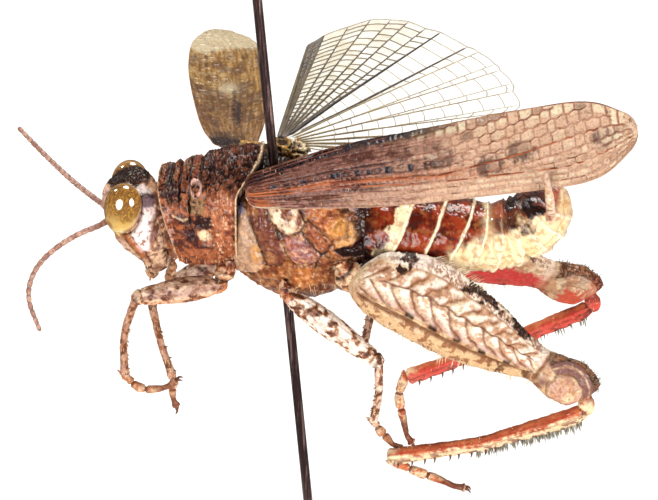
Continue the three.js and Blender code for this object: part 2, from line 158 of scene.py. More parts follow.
class Finish:
    """A material that is built up from signals."""

    def __init__(self, name, **fixed):
        self.material = bpy.data.materials.new(name)
        self.material.use_nodes = True
        self.tree = self.material.node_tree
        self.shader = self.tree.nodes["Principled BSDF"]
        for socket, value in fixed.items():
            self.shader.inputs[socket.replace("_", " ")].default_value = value

    def node(self, kind, settings=None, values=None, output=0):
        made = self.tree.nodes.new(kind)
        for setting, value in (settings or {}).items():
            setattr(made, setting, value)
        for socket, value in (values or {}).items():
            self.feed(made.inputs[socket], value)
        return Signal(self, made.outputs[output])

    def feed(self, socket, value):
        if isinstance(value, Signal):
            self.tree.links.new(value.socket, socket)
        else:
            socket.default_value = value

    def output(self, **signals):
        for socket, value in signals.items():
            self.feed(self.shader.inputs[socket.replace("_", " ")], value)
        return self.material

    def place(self):
        return self.node("ShaderNodeTexCoord", output="Object")

    def noise(self, per_mm, detail=3.0, rough=0.55, where=None):
        """Cloudy noise with about that many clouds in a millimetre."""
        values = {"Vector": where or self.place(), "Scale": per_mm / MM, "Detail": detail}
        return self.node("ShaderNodeTexNoise", None, {**values, "Roughness": rough})

    def mark(self, name):
        """A painted or sculpted value that the piece carries at its vertices."""
        return self.node("ShaderNodeAttribute", {"attribute_name": name}, output="Fac")

    def mix(self, factor, one, other, blend="MIX"):
        settings = {"data_type": "RGBA", "blend_type": blend, "clamp_factor": True}
        values = {0: factor}
        for i, colour in ((6, one), (7, other)):
            values[i] = rgb(colour) if isinstance(colour, int) else colour
        return self.node("ShaderNodeMix", settings, values, output=2)

    def bump(self, height, depth_mm):
        values = {"Height": height, "Distance": depth_mm * MM, "Strength": 1.0}
        return self.node("ShaderNodeBump", None, values, output="Normal")


print("white is", rgb(0xFFFFFF)[:3])

# %% [markdown]
# Insect shell is hard, glossy and never one colour: pigment lies in clouds and specks, the grooves are
# darkened with painted shade, the ridges are lightened partly as rubbed wear and partly as a painted
# highlight, and tiny painted glints are scattered over it. One function makes all of these shells. Each
# piece tells it where its markings are, and how high each point was raised, through values at its vertices.

# %% The shell finish
def shell(name, ground, cloud, groove, marks=(), gloss=0.28, coat=0.45, speck=0.6, grit=0.03, wear_and_highlight=0.3,
          shine=0xD0C0AC, painted_glint=0.25, groove_shade=0.9, clean=None, dirt_and_shade_tints=()):
    """Shell of two clouded colours, then the named marks over them, then dark specks, painted glints,
    ridges lightened as rubbed wear and with a painted highlight, and painted shade in the grooves.
    The mark named by clean has no specks, and the last argument names marks with their own colour for
    the specks and the groove shade."""
    f = Finish(name, Coat_Roughness=0.06, Coat_IOR=1.45, IOR=1.15)
    clouds = f.noise(1.3, detail=5)
    fine = f.noise(6, detail=4, rough=0.65)
    tiny = f.noise(15, detail=3, rough=0.6)
    colour = f.mix(clouds.span(0.42, 0.58), ground, cloud)
    for mark, tint in marks:
        colour = f.mix(f.mark(mark) * fine.span(0.25, 0.5, 0.75, 1.0), colour, tint)
    # Some marks give the dark specks and the painted groove shade their own colour.
    for mark, tint in dirt_and_shade_tints:
        groove = f.mix(f.mark(mark), groove, tint)
    dirt = speck * (1 - f.mark(clean)) if clean else speck
    colour = f.mix(fine.span(0.5, 0.66) * dirt, colour, groove)
    colour = f.mix(tiny.span(0.56, 0.72) * dirt * 0.8, colour, groove)
    # Pale specks brightened with the shine colour: painted glints.
    colour = f.mix(tiny.span(0.44, 0.3) * painted_glint, colour, shine, blend="DODGE")
    relief = f.mark("relief")
    # Raised places brightened with the shine colour: rubbed wear and a painted highlight.
    colour = f.mix(relief.span(0.02, 0.12, 0, wear_and_highlight), colour, shine, blend="DODGE")
    # Sunken places darkened with the groove colour: painted shade in the grooves.
    colour = f.mix(relief.span(-0.09, -0.005, groove_shade, 0), colour, groove)
    return f.output(
        Base_Color=colour,
        Roughness=gloss + 0.25 * fine.span(0.3, 0.7),
        Coat_Weight=coat * fine.span(0.35, 0.65, 0.2, 1.0),
        Normal=f.bump(f.noise(11, detail=5, rough=0.7), grit),
    )


print("a shell has up to", len(shell.__defaults__) + 4, "settings")

# %% [markdown]
# Every solid is a plain, faceted form. To dress one, a flat grid is rolled into a tube round the solid's
# middle line, and each of its points is pulled onto the solid by a ray shot inwards. A blur takes the
# facets away, and then the skin can be sculpted: each point is raised or sunk by a function of its place.
# First come the tools that read a solid's mesh and find the line through its middle.

# %% Measuring the solids
def unit(vectors):
    """Vectors made one unit long."""
    vectors = np.asarray(vectors, float)
    return vectors / np.linalg.norm(vectors, axis=-1, keepdims=True)


def solid_mesh(node):
    """A solid's corner points and triangles."""
    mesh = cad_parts[node].data
    at = np.empty(len(mesh.vertices) * 3)
    mesh.vertices.foreach_get("co", at)
    mesh.calc_loop_triangles()
    triangles = np.empty(len(mesh.loop_triangles) * 3, int)
    mesh.loop_triangles.foreach_get("vertices", triangles)
    return at.reshape(-1, 3) / MM - (0, 0, LEVEL), triangles.reshape(-1, 3)


def sections(at, triangles, axis, count):
    """The outlines where evenly spaced planes across an axis cut a solid."""
    run = at @ axis
    a, b = triangles[:, [0, 1, 1, 2, 2, 0]].reshape(-1, 2).T
    rings = []
    for station in np.linspace(run.min(), run.max(), count + 2)[1:-1]:
        cut = (run[a] - station) * (run[b] - station) < 0
        t = ((station - run[a[cut]]) / (run[b[cut]] - run[a[cut]]))[:, None]
        rings.append(at[a[cut]] * (1 - t) + at[b[cut]] * t)
    return rings


def blurred(values, spread, axis=0, closed=False):
    """Values smoothed along one axis with bell-shaped weights. Open ends stay where they are."""
    reach = max(1, int(3 * spread))
    weights = np.exp(-0.5 * (np.arange(-reach, reach + 1) / spread) ** 2)
    weights /= weights.sum()
    values = np.moveaxis(np.asarray(values, float), axis, 0)
    reach = min(reach, len(values) - 2)
    weights = weights[len(weights) // 2 - reach : len(weights) // 2 + reach + 1]
    weights /= weights.sum()
    if closed:
        padded = np.concatenate([values[-1 - reach : -1], values, values[1 : reach + 1]])
    else:
        before = 2 * values[0] - values[reach:0:-1]
        after = 2 * values[-1] - values[-2 : -2 - reach : -1]
        padded = np.concatenate([before, values, after])
    smooth = sum(w * padded[i : i + len(values)] for i, w in enumerate(weights))
    return np.moveaxis(smooth, 0, axis)


def smooth_line(points, count=160, spread=0.03):
    """Evenly spaced points on a smooth line through some points."""
    points = np.asarray(points, float)
    run = np.r_[0, np.cumsum(np.linalg.norm(np.diff(points, axis=0), axis=1))]
    even = np.linspace(0, run[-1], count)
    return blurred(np.stack([np.interp(even, run, p) for p in points.T], 1), spread * count)


def track(node, near, count=14, back=0.0, on=0.0):
    """A slim solid's middle line, starting at the end that is nearest to a point. It can run on past
    the solid at both ends, into the neighbours."""
    at, triangles = solid_mesh(node)
    middle = at.mean(0)
    axis = np.linalg.svd(at - middle, full_matrices=False)[2][0]
    if (np.asarray(near) - middle) @ axis > 0:
        axis = -axis
    line = np.array([(r.min(0) + r.max(0)) / 2 for r in sections(at, triangles, axis, count)])
    first = line[0] + (line[0] - line[1]) * 0.9 + unit(line[0] - line[1]) * back
    last = line[-1] + (line[-1] - line[-2]) * 0.9 + unit(line[-1] - line[-2]) * on
    return smooth_line([first, *line, last])


print("left feeler starts at", track("antenna_left", (-9, 0, 2))[0].round(2))

# %% [markdown]
# A marking or a ridge is a mask: a number at each point, 0 where there is nothing and 1 where it is
# full. Masks are made from a few smooth curves, which are multiplied to cut one mask with another. The
# strongest of several masks joins them.

# %% Curves for masks
def bell(value, width):
    """1 at 0, falling to 0 over about twice the width to each side."""
    return np.exp(-((value / width) ** 2))


def step(value, low, high):
    """Rises smoothly from 0 to 1 while the value runs from low to high."""
    t = np.clip((value - low) / (high - low), 0, 1)
    return t * t * (3 - 2 * t)


def fade(value, full, gone):
    """Falls smoothly from 1 to 0 while the value runs from full to gone."""
    return step(-value, -gone, -full)


def within(value, low, full, fading, gone):
    """Rises from 0 to 1 between low and full, and falls back to 0 between fading and gone."""
    return step(value, low, full) * fade(value, fading, gone)


def shown(mask):
    """A mask kept between 0 and 1."""
    return np.clip(mask, 0, 1)


def most(*masks):
    """The strongest of several masks at each point."""
    return np.maximum.reduce(masks)


print("a step at a quarter, half and three quarters:", [float(step(x, 0, 1)) for x in (0.25, 0.5, 0.75)])

# %% [markdown]
# Nothing on an insect is quite even. The unevenness comes from lattice noise: each corner of a grid of
# cubes has a slope picked from a fixed shuffled table, and a point blends the slopes of its eight
# corners. Layers of it, each finer and weaker than the last, make lumps, wrinkles and edges of clouds.

# %% Natural unevenness
HASH = random.permutation(4096)
SLOPES = unit(random.normal(size=(4096, 3)))


def scrambled(cells):
    """A fixed random number from 0 to 4095 for each whole-numbered place."""
    x, y, z = np.moveaxis(np.asarray(cells, int) & 4095, -1, 0)
    return HASH[(HASH[(HASH[x] + y) & 4095] + z) & 4095]


def lumps(at):
    """Smooth noise between about -1 and 1, with lumps one unit across."""
    base = np.floor(at)
    part = at - base
    fade = part**3 * (part * (part * 6 - 15) + 10)
    total = np.zeros(len(at))
    for corner in np.ndindex(2, 2, 2):
        slope = SLOPES[scrambled(base + corner)]
        share = np.prod(np.where(corner, fade, 1 - fade), axis=1)
        total += share * ((part - corner) * slope).sum(1)
    return 1.8 * total


def rough(at, size, octaves=4, shift=0.0):
    """Natural unevenness between about -1 and 1, with lumps of about that size."""
    places = np.asarray(at) / size + shift + 50
    return sum(lumps(places * 2.07**k + 9.3 * k) / 1.85**k for k in range(octaves))


def folds(at, size, octaves=4, shift=0.0):
    """Sharp-crested wrinkles between 0 and 1."""
    return 1 - np.abs(np.clip(rough(at, size, octaves, shift) * 1.6, -1, 1))


def grains(at, size):
    """Round grains of about that size: 1 on the top of a grain and 0 between them."""
    places = np.asarray(at) / size + 50
    base = np.floor(places)
    nearest = np.full(len(places), 9.0)
    for offset in np.ndindex(3, 3, 3):
        cell = base + offset - 1
        centre = cell + 0.5 + 0.3 * SLOPES[scrambled(cell)]
        nearest = np.minimum(nearest, np.linalg.norm(places - centre, axis=1))
    return np.clip(1 - 1.5 * nearest, 0, 1)


print("the unevenness at three places:", rough([(0, 0, 0), (1, 2, 3), (4, 4, 1)], 0.5).round(2))

# %% [markdown]
# A skin keeps its points beside its bmesh while it is sculpted, because whole columns of numbers are
# quicker to work on than single vertices. It also keeps which way is outwards at each point, where the
# point lies on the grid, and the marks that its finish will read.

# %% Skins that can be sculpted
class Skin:
    """A grid of points over a solid, and what a sculptor asks about each point."""

    def __init__(self, bm, at, out, u, v, run=None):
        self.bm, self.at, self.out, self.u, self.v, self.run = bm, at, out, u, v, run
        self.turn = 2 * np.pi * v
        self.x, self.y, self.z = at.T.copy()
        self.marks = {"relief": np.zeros(len(at))}

    def lift(self, height):
        """Raises each point by its own height, or all of them by the same one."""
        height = np.broadcast_to(height, len(self.x))
        self.at = self.at + self.out * height[:, None]
        self.marks["relief"] = self.marks["relief"] + height

    def pour(self):
        """Puts the points and the marks into the bmesh. A mark may be one number for all points."""
        layers = {mark: self.bm.verts.layers.float.new(mark) for mark in self.marks}
        values = {mark: np.broadcast_to(value, len(self.x)) for mark, value in self.marks.items()}
        for i, vertex in enumerate(self.bm.verts):
            vertex.co = self.at[i]
            for mark, layer in layers.items():
                vertex[layer] = values[mark][i]
        return self.bm


def unit_grid(columns, rows, name="surface"):
    """A grid with its own map, and each point's u along and v across, both from 0 to 1."""
    bm = bmesh.new()
    bm.loops.layers.uv.new(name)
    bmesh.ops.create_grid(bm, x_segments=columns, y_segments=rows, size=0.5, calc_uvs=True)
    at = np.array([v.co[:2] for v in bm.verts]) + 0.5
    return bm, at[:, 0], at[:, 1]


def fine_ball():
    """A ball of radius 1 with its own map, and its points."""
    bm = bmesh.new()
    bm.loops.layers.uv.new("surface")
    bmesh.ops.create_icosphere(bm, subdivisions=5, radius=1.0, calc_uvs=True)
    return bm, np.array([v.co for v in bm.verts])


def frames(line, up):
    """At each point of a line, the directions onwards, upwards and to the near side."""
    onward = unit(np.gradient(line, axis=0))
    upward = unit(up - (onward @ up)[:, None] * onward)
    near = np.cross(onward, upward)
    return onward, upward, near * (-1 if near[:, 1].mean() > 0 else 1)


print("a feeler's first direction:", frames(track("antenna_left", (-9, 0, 2)), (0, 0, 1.0))[0][0].round(2))

# %% [markdown]
# The wrap is the heart of this script. Rays are shot at the solid from outside, towards its middle
# line, ring by ring. Where a ray misses, the ring's usual radius is taken. The radii are blurred more
# than the facets are long, and the last rings shrink to a point, so the skin is closed and round at
# both ends.

# %% Wrapping a skin round a solid
def wrap(node, line, up=(0, 0, 1), rings=90, sides=64, caps=(0.4, 0.4), soft=(0.12, 0.07), tube=False,
         ease=0.55):
    """A skin round a solid. Its u runs along the middle line, and its v round it: 0 is the top, 0.25
    the near side, 0.5 the bottom and 0.75 the far side. Both ends are rounded over their cap length.
    soft is the blur round and along it, tube makes each ring round, and ease packs rings at the ends."""
    at, triangles = solid_mesh(node)
    tree = BVHTree.FromPolygons(at.tolist(), triangles.tolist())
    bm, u, v = unit_grid(rings, sides)
    length = np.linalg.norm(np.diff(line, axis=0), axis=1).sum()
    even = np.linspace(0, 1, rings + 1)
    place = even - ease * np.sin(2 * np.pi * even) / (2 * np.pi)
    index = place * (len(line) - 1)
    centre = np.stack([np.interp(index, np.arange(len(line)), c) for c in line.T], 1)
    _, upward, near = frames(centre, np.asarray(up, float))
    run = place * length
    cast = np.interp(np.clip(run, 0.1, length - 0.1), run, np.arange(rings + 1)).round().astype(int)
    turns = np.linspace(0, 2 * np.pi, sides + 1)[:, None, None]
    out = np.cos(turns) * upward + np.sin(turns) * near
    radius = np.full((sides + 1, rings + 1), np.nan)
    far = 15.0  # farther out than any solid reaches
    for j, i in np.ndindex(sides, rings + 1):
        k = cast[i]
        origin = Vector(centre[k] + far * out[j, k])
        distance = tree.ray_cast(origin, Vector(-out[j, k]), far)[3]
        if distance is not None:
            radius[j, i] = far - distance
    radius[sides] = radius[0]
    usual = np.nanmedian(radius, axis=0)
    usual = np.interp(even, even[~np.isnan(usual)], usual[~np.isnan(usual)])
    radius = np.where(np.isnan(radius) | tube, usual, radius)
    radius = blurred(radius, max(0.6, soft[0] * sides), 0, closed=True)
    radius = blurred(radius, max(0.6, soft[1] * rings), 1)
    for cap, distance in zip(caps, (run, length - run)):
        if cap:
            radius = radius * np.sqrt(np.clip(1 - (1 - np.clip(distance / cap, 0, 1)) ** 2, 0, 1))
    radius[:, [0, -1]] = 0
    points = centre + out * radius[:, :, None]
    skin = Skin(bm, points.reshape(-1, 3), out.reshape(-1, 3), u, v, np.tile(run, sides + 1))
    skin.radius = radius.reshape(-1)
    skin.length = length
    return skin


print("a wrap has", (90 + 1) * (64 + 1), "points unless told otherwise")

# %% [markdown]
# A grid that was rolled up has a seam where its edges meet, and its ends are many points in one place,
# so each mesh has its doubles merged before it is kept. Then its normals are made to point outwards.
# Its place stays in its mesh, and the piece rides the insect in place of its solids.

# %% Keeping a finished piece
def finished(name, bm, material, slot, *nodes, weld=1e-4):
    """Closes a mesh's seams, turns its faces outwards and makes it a piece."""
    bmesh.ops.remove_doubles(bm, verts=bm.verts, dist=weld)
    bmesh.ops.recalc_face_normals(bm, faces=bm.faces)
    bmesh.ops.translate(bm, vec=(0, 0, LEVEL), verts=bm.verts)
    bmesh.ops.scale(bm, vec=(MM, MM, MM), verts=bm.verts)
    for face in bm.faces:
        face.smooth = True
    mesh = bpy.data.meshes.new(name)
    bm.to_mesh(mesh)
    bm.free()
    mesh.materials.append(material)
    piece = bpy.data.objects.new(name, mesh)
    bpy.context.scene.collection.objects.link(piece)
    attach(piece, "root")
    if nodes:
        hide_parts(*nodes)
    print(name, "has", len(mesh.polygons), "faces")


def keep(name, skin, material, slot, *nodes):
    """Makes a skin a finished piece of the insect, in place of some solids."""
    finished(name, skin.pour(), material, slot, *nodes)


# %% [markdown]
# Veins, spines, claws and hairs are thin tubes by the thousand. Making each one with its own operator
# calls would be slow, so one grid of each size is made, copied as often as it is needed into one mesh,
# and rolled round the lines. Each tube can carry its own marks.

# %% Many tubes in one mesh
class Tubes:
    """Many closed tubes in one mesh, for veins, spines, claws and hairs."""

    def __init__(self):
        self.shapes, self.points, self.patches, self.tones = [], [], [], []

    def add(self, line, radii, sides=5, up=(0, 0.1, 1), patch=None, **tones):
        """A tube along a line. patch is its root's place on the piece's map, and tones are its marks."""
        line = np.asarray(line, float)
        radii = np.broadcast_to(np.asarray(radii, float), len(line))
        _, upward, near = frames(line, np.asarray(up, float))
        turn = np.linspace(0, 2 * np.pi, sides + 1)[:, None, None]
        ring = np.cos(turn) * upward + np.sin(turn) * near
        self.points.append((line + radii[:, None] * ring).reshape(-1, 3))
        self.shapes.append((len(line) - 1, sides))
        self.patches.append(patch)
        self.tones.append(tones)

    def mesh(self, **values):
        """All of the tubes as one mesh. A mark is the same number everywhere, or each tube's own."""
        rooted = self.patches[0] is not None
        grids = {}
        for columns, rows in set(self.shapes):
            flat = unit_grid(columns, rows, "OFBake" if rooted else "surface")[0]
            grids[columns, rows] = bpy.data.meshes.new("grid")
            flat.to_mesh(grids[columns, rows])
            flat.free()
        bm = bmesh.new()
        for shape in self.shapes:
            bm.from_mesh(grids[shape])
        for mesh in grids.values():
            bpy.data.meshes.remove(mesh)
        points = np.concatenate(self.points)
        sizes = [len(p) for p in self.points]
        fields = {mark: np.repeat([tones[mark] for tones in self.tones], sizes) for mark in self.tones[0]}
        fields.update({mark: np.full(len(points), value) for mark, value in values.items()})
        layers = {mark: bm.verts.layers.float.new(mark) for mark in fields}
        for i, vertex in enumerate(bm.verts):
            vertex.co = points[i]
            for mark, layer in layers.items():
                vertex[layer] = fields[mark][i]
        if rooted:
            self.lay_patches(bm)
        return bm

    def lay_patches(self, bm):
        """Moves each tube's map, made small, to its root's place on the piece's map."""
        layer = bm.loops.layers.uv["OFBake"]
        faces = iter(bm.faces)
        for (columns, rows), patch in zip(self.shapes, self.patches):
            for _ in range(columns * rows):
                for loop in next(faces).loops:
                    loop[layer].uv = Vector(patch) + loop[layer].uv * PATCH


PATCH = 0.003  # the size of a hair's patch, as a share of the map
print("hairs and veins are tubes of", 3, "to", 7, "sides")

# %% [markdown]
# Fine hairs are thin cones, each rooted at a point of a skin. Each hair's patch of the map lies at its
# root's place on the skin's own map, so that it can take up its colour there.

# %% Hairs
f = Finish("fine_hair", Roughness=0.4)
straw_hair = f.mix(f.noise(2).span(0.4, 0.6), 0xF0E2C4, 0xD8C098)
hair_finish = f.output(Base_Color=f.mix(f.mark("dark"), straw_hair, 0x3C3A32))


def hairs(name, skin, where, count, length, lean, slot, girth=0.022, spread=0.3, dark=0.0, outwards=1.0):
    """Scatters hairs over the part of a skin where a mask is high. They lean towards a direction."""
    chosen = random.choice(len(skin.u), count, p=where / where.sum())
    coat = Tubes()
    for i in chosen:
        out = unit(skin.out[i] * outwards + np.array(lean) + spread * random.normal(size=3))
        reach = length * random.uniform(0.6, 1.2)
        root = skin.at[i] - 0.04 * skin.out[i]
        tip = root + reach * out + 0.15 * reach * np.array(lean)
        coat.add([root, root + 0.5 * reach * out, tip], (girth, girth * 0.8, 0), sides=3,
                 up=(0.3, 0.5, 0.7), patch=(skin.u[i], skin.v[i]))
    finished(name, coat.mesh(dark=dark), hair_finish, slot)


# %% [markdown]
# The floor is a plain pale sheet, wide enough to fill the view from every side. Glossy shell would
# mirror so much white paper and look milky, so the floor is left out of reflections.

# %% Floor
floor_mesh = bmesh.new()
bmesh.ops.create_grid(floor_mesh, x_segments=1, y_segments=1, size=1.5)
floor = bpy.data.objects.new("floor", bpy.data.meshes.new("floor"))
floor_mesh.to_mesh(floor.data)
floor_mesh.free()
paper = Finish("pale_paper", Roughness=0.9)
floor.data.materials.append(paper.output(Base_Color=paper.mix(paper.noise(0.02), 0xFAFAF8, 0xF4F4F2)))
floor.visible_glossy = False
bpy.context.scene.collection.objects.link(floor)
print("the floor is", 2 * 1.5, "metres wide")

# %% [markdown]
# Most markings are drawn in side view, as on a plan of the insect: ovals, broken lines and closed
# outlines, with their places in millimetres. The same drawing marks both sides.

# %% Markings drawn in side view
def blot(skin, x, z, wide, high, ragged=0.25, soft=0.3):
    """An oval marking. Its edge is as ragged as it is told to be."""
    distance = np.hypot((skin.x - x) / wide, (skin.z - z) / high) + ragged * skin.uneven
    return 1 - step(distance, 1 - soft, 1 + soft)


def to_line(skin, points):
    """How far each point is from a broken line, in side view."""
    best = np.full(len(skin.x), 99.0)
    here = np.stack([skin.x, skin.z], 1)
    for a, b in zip(np.array(points[:-1]), np.array(points[1:])):
        t = np.clip(((here - a) @ (b - a)) / ((b - a) @ (b - a)), 0, 1)
        best = np.minimum(best, np.linalg.norm(here - a - t[:, None] * (b - a), axis=1))
    return best


def stroke(skin, points, width):
    """A soft broken line."""
    return bell(to_line(skin, points), width)


def into_outline(skin, points):
    """How far each point lies inside a closed outline, in side view. Outside it is negative."""
    edge = to_line(skin, [*points, points[0]])
    inside = np.zeros(len(skin.x), bool)
    for (ax, az), (bx, bz) in zip(points, [*points[1:], points[0]]):
        crosses = (az > skin.z) != (bz > skin.z)
        inside ^= crosses & (skin.x < (bx - ax) * (skin.z - az) / (bz - az + 1e-9) + ax)
    return np.where(inside, edge, -edge)


print("markings: blot, stroke and into_outline")

# %% [markdown]
# The head is a hard capsule that stands on the mouthparts. A ridge runs down the middle of the face,
# a groove runs down from each eye, and the crown is black and wrinkled. A cream and mauve band lies
# behind each eye. It is one skin round the head's solid, sculpted by functions of place that are the
# same on both sides.

# %% Head finish
EYE = {"at": (-10.16, 1.45, 2.6), "size": (0.93, 0.82, 1.34)}
head_shell = shell(
    "head_shell", 0xD0A888, 0xA07458, 0x54301F,
    marks=[("beige", 0xC8A898), ("pink", 0xE8D2CE), ("shade", 0x7C5450), ("brown", 0x6E4030),
           ("stripe", 0xD8B89C),
           ("orange", 0x9C5426), ("mauve", 0x7E6670), ("crown", 0x150E0C), ("white", 0xF0E0DA),
           ("arc", 0x2A1C2A),
           ("yellow", 0xE8D040)],
    gloss=0.24, coat=0.8, grit=0.03, speck=0.6, wear_and_highlight=0.2, clean="pink", dirt_and_shade_tints=[("pink", 0xA88078)],
)
print("the eyes are", round(2 * EYE["at"][1], 1), "mm apart")

# %% Head shape
head_line = smooth_line([(-8.75, 0, -1.35), (-8.85, 0, -0.4), (-9.5, 0, 1.1), (-9.75, 0, 2.4),
                         (-9.7, 0, 3.4),
                         (-9.55, 0, 4.25)])
head = wrap("head", head_line, up=(-1, 0, 0), rings=190, sides=230, caps=(0.35, 0.55), soft=(0.035, 0.03))
side = abs(head.y)
head.uneven = rough(head.at, 0.5)
fine_uneven = rough(head.at, 0.2, shift=5)
patch = rough(head.at, 0.32, shift=9)
wrinkle = folds(head.at * (0.7, 1, 1.5), 0.3, shift=3)
front = step(np.cos(head.turn), 0.2, 0.7)
flank = step(side, 0.6, 0.85)
from_eye = np.linalg.norm(
    (np.stack([head.x, side, head.z], 1) - EYE["at"]) / EYE["size"], axis=1)
crown_edge = 3.3 + 0.35 * step(head.x, -9.55, -9.2)
crown = step(head.z + 0.15 * head.uneven, crown_edge, crown_edge + 0.2) * step(from_eye, 1.1, 1.2)
costa = front * within(head.z, -0.5, 0.1, 3.3, 3.7)
cheek_groove = to_line(head, [(-10.0, 1.35), (-9.7, 0.75), (-9.25, 0.1), (-9.0, -0.6)])
cheek_seam = [(-8.45, 2.9), (-8.2, 1.6), (-7.95, 0.2)]
PINK_BAND = [(-9.3, 2.75), (-8.5, 2.7), (-8.45, 2.3), (-8.65, 1.7), (-8.8, 1.0), (-8.8, 0.35), (-9.15, 0.1),
             (-9.6, 0.55), (-9.7, 1.35), (-9.35, 2.1)]
BAND_SHADOW = [(-8.6, 2.6), (-8.2, 2.4), (-8.25, 1.7), (-8.45, 1.1), (-8.75, 0.6), (-8.9, 1.0),
               (-8.75, 1.7),
               (-8.55, 2.2)]
band_depth = into_outline(head, PINK_BAND) + 0.06 * head.uneven
shadow_depth = into_outline(head, BAND_SHADOW) + 0.08 * head.uneven
head.lift(0.1 * bell(from_eye - 1.14, 0.06) - 0.12 * bell(from_eye - 1.03, 0.04))
head.lift(costa * (0.15 * bell(head.y, 0.3) - 0.11 * bell(head.y, 0.11) + 0.08 * bell(side - 0.95, 0.08)))
head.lift(-0.09 * bell(head.z + 0.55, 0.06) * front - 0.09 * bell(cheek_groove - 0.2, 0.05) * flank)
head.lift(0.08 * bell(cheek_groove, 0.12) * flank + 0.06 * step(band_depth, 0, 0.2) * flank)
head.lift(-0.08 * stroke(head, [*cheek_seam, (-8.1, -0.9)], 0.06) * flank)
head.lift(-0.07 * stroke(head, [(-9.3, -0.2), (-8.6, 0.1), (-7.9, 0.2)], 0.05) * flank)
head.lift(crown * (0.16 * (wrinkle - 0.6) + 0.06 * fine_uneven))
head.lift((1 - crown) * (0.04 * head.uneven + 0.035 * fine_uneven))
for feeler_root in ((-11.0, 0.72, 1.5), (-11.0, -0.72, 1.5)):
    socket = np.linalg.norm(head.at - feeler_root, axis=1)
    head.lift(0.1 * bell(socket - 0.38, 0.08) - 0.12 * bell(socket, 0.25))
for simple_eye in ((-11.2, 0, 2.3), (-10.9, 0.62, 3.1), (-10.9, -0.62, 3.1)):
    head.lift(0.09 * bell(np.linalg.norm(head.at - simple_eye, axis=1), 0.13))
print("head from", head.at.min(0).round(2), "to", head.at.max(0).round(2))

# %% Head markings
white = blot(head, -8.98, 3.42, 0.6, 0.27, ragged=0.15, soft=0.2) * flank
low_front = np.linalg.norm(np.stack([head.x + 10.45, side - 1.25, head.z - 1.12], 1), axis=1)
head.marks.update(
    beige=front * (patch > -0.2) * 0.8,
    pink=step(band_depth, -0.04, 0.08) * flank * (1 - 0.6 * step(patch - 0.5 * head.z, 0.0, 0.3)),
    shade=step(shadow_depth, -0.05, 0.12) * flank * 0.85,
    brown=most(
        0.8 * step(patch, 0.1, 0.3) * step(head.x, -9.0, -8.7) * fade(head.z, 1.4, 1.9),
        0.8 * step(patch, 0.1, 0.3) * fade(head.z, -0.2, 0.5), 0.8 * step(patch, 0.28, 0.45),
        0.7 * stroke(head, cheek_seam, 0.1) * flank),
    stripe=bell(to_line(head, [(-8.3, 1.7), (-8.1, 0.7), (-7.95, -0.2)]) - 0.18, 0.08) * flank
    * (patch < 0.25),
    orange=stroke(head, [(-10.15, 1.3), (-9.65, 0.75), (-9.2, 0.05)], 0.2) * flank,
    mauve=blot(head, -8.95, 2.9, 0.45, 0.27, ragged=0.15) * flank,
    crown=crown * (1 - white),
    white=white,
    arc=np.maximum(stroke(head, [(-9.35, 3.12), (-9.02, 3.24), (-8.65, 3.02)], 0.075),
                   0.8 * bell(from_eye - 1.03, 0.03)) * flank,
    yellow=bell(low_front, 0.13),
)
keep("head_capsule", head, head_shell, "head_shell", "head")
chin = fade(head.z, -0.5, 0.3) * (side > 0.3) + 0.05
hairs("head_hairs", head, chin, 90, 0.28, (0, 0, -0.5), "head_shell", girth=0.015)

# %% [markdown]
# The neck is soft crumpled skin that joins the head to the saddle. A ball pulled to an egg is enough,
# because only slits of it show.

# %% Neck
bm, ball = fine_ball()
neck = Skin(bm, ball * (1.1, 1.35, 2.15) + (-7.75, 0, 1.6), ball, ball[:, 0], ball[:, 2])
neck.lift(0.2 * (folds(neck.at * (0.5, 1, 1), 0.5) - 0.6) + 0.05 * rough(neck.at, 0.3))
neck.marks["brown"] = 0.8 * step(rough(neck.at, 0.4), -0.3, 0.2)
neck.marks["orange"] = step(rough(neck.at, 0.3, shift=4), 0.0, 0.3)
keep("neck", neck, head_shell, "head_shell")

# %% [markdown]
# A grasshopper's eye is a smooth, glossy oval of thousands of tiny facets, amber here, with darker clouds
# above and paler ones below. It is an icosphere, stretched to a given size, with facets as bump.

# %% Eyes
f = Finish("amber_eye", Coat_Weight=1.0, Coat_Roughness=0.03, Coat_IOR=2.1, IOR=1.15)
haze = f.noise(1.6, detail=5)
height = f.mark("height")
amber = f.mix(height.span(-0.8, 0.4), 0xCCA860, 0x7E5018)
amber = f.mix(height.span(-0.6, -1.0), amber, 0xEAD8AC)
amber = f.mix(haze.span(0.4, 0.6) * 0.7, amber, 0x6A400C)
amber = f.mix(f.noise(9, detail=4, rough=0.65).span(0.5, 0.62) * 0.6, amber, 0xC8962A)
amber = f.mix(f.noise(11, detail=3).span(0.54, 0.66) * height.span(-0.3, 0.6) * 0.85, amber, 0x3E2608)
amber = f.mix(f.mark("rim"), amber, 0xB98C50)
eye_finish = f.output(Base_Color=amber, Roughness=0.22 + 0.1 * haze,
                      Normal=f.bump(f.noise(16, detail=1), 0.012))
for name, sign in (("left", -1), ("right", 1)):
    node = f"eye_{name}"
    bm, ball = fine_ball()
    lean = Matrix.Rotation(np.radians(9), 3, "Y")
    egg = ball * np.stack([1 + 0.1 * ball[:, 2], 1 + 0.1 * ball[:, 2], np.ones(len(ball))], 1)
    shaped = (egg * EYE["size"]) @ np.array(lean.transposed())
    eye = Skin(bm, shaped + (EYE["at"][0], sign * EYE["at"][1], EYE["at"][2]), ball, ball[:, 0], ball[:, 2])
    eye.marks["height"] = ball[:, 2]
    eye.marks["rim"] = 0.8 * bell(ball[:, 1] * sign + 0.1, 0.12)
    keep(f"{name}_eye", eye, eye_finish, "eye", node)

# %% [markdown]
# The mouth is closed by an upper lip, and two jointed feelers, the palps, hang beside it.

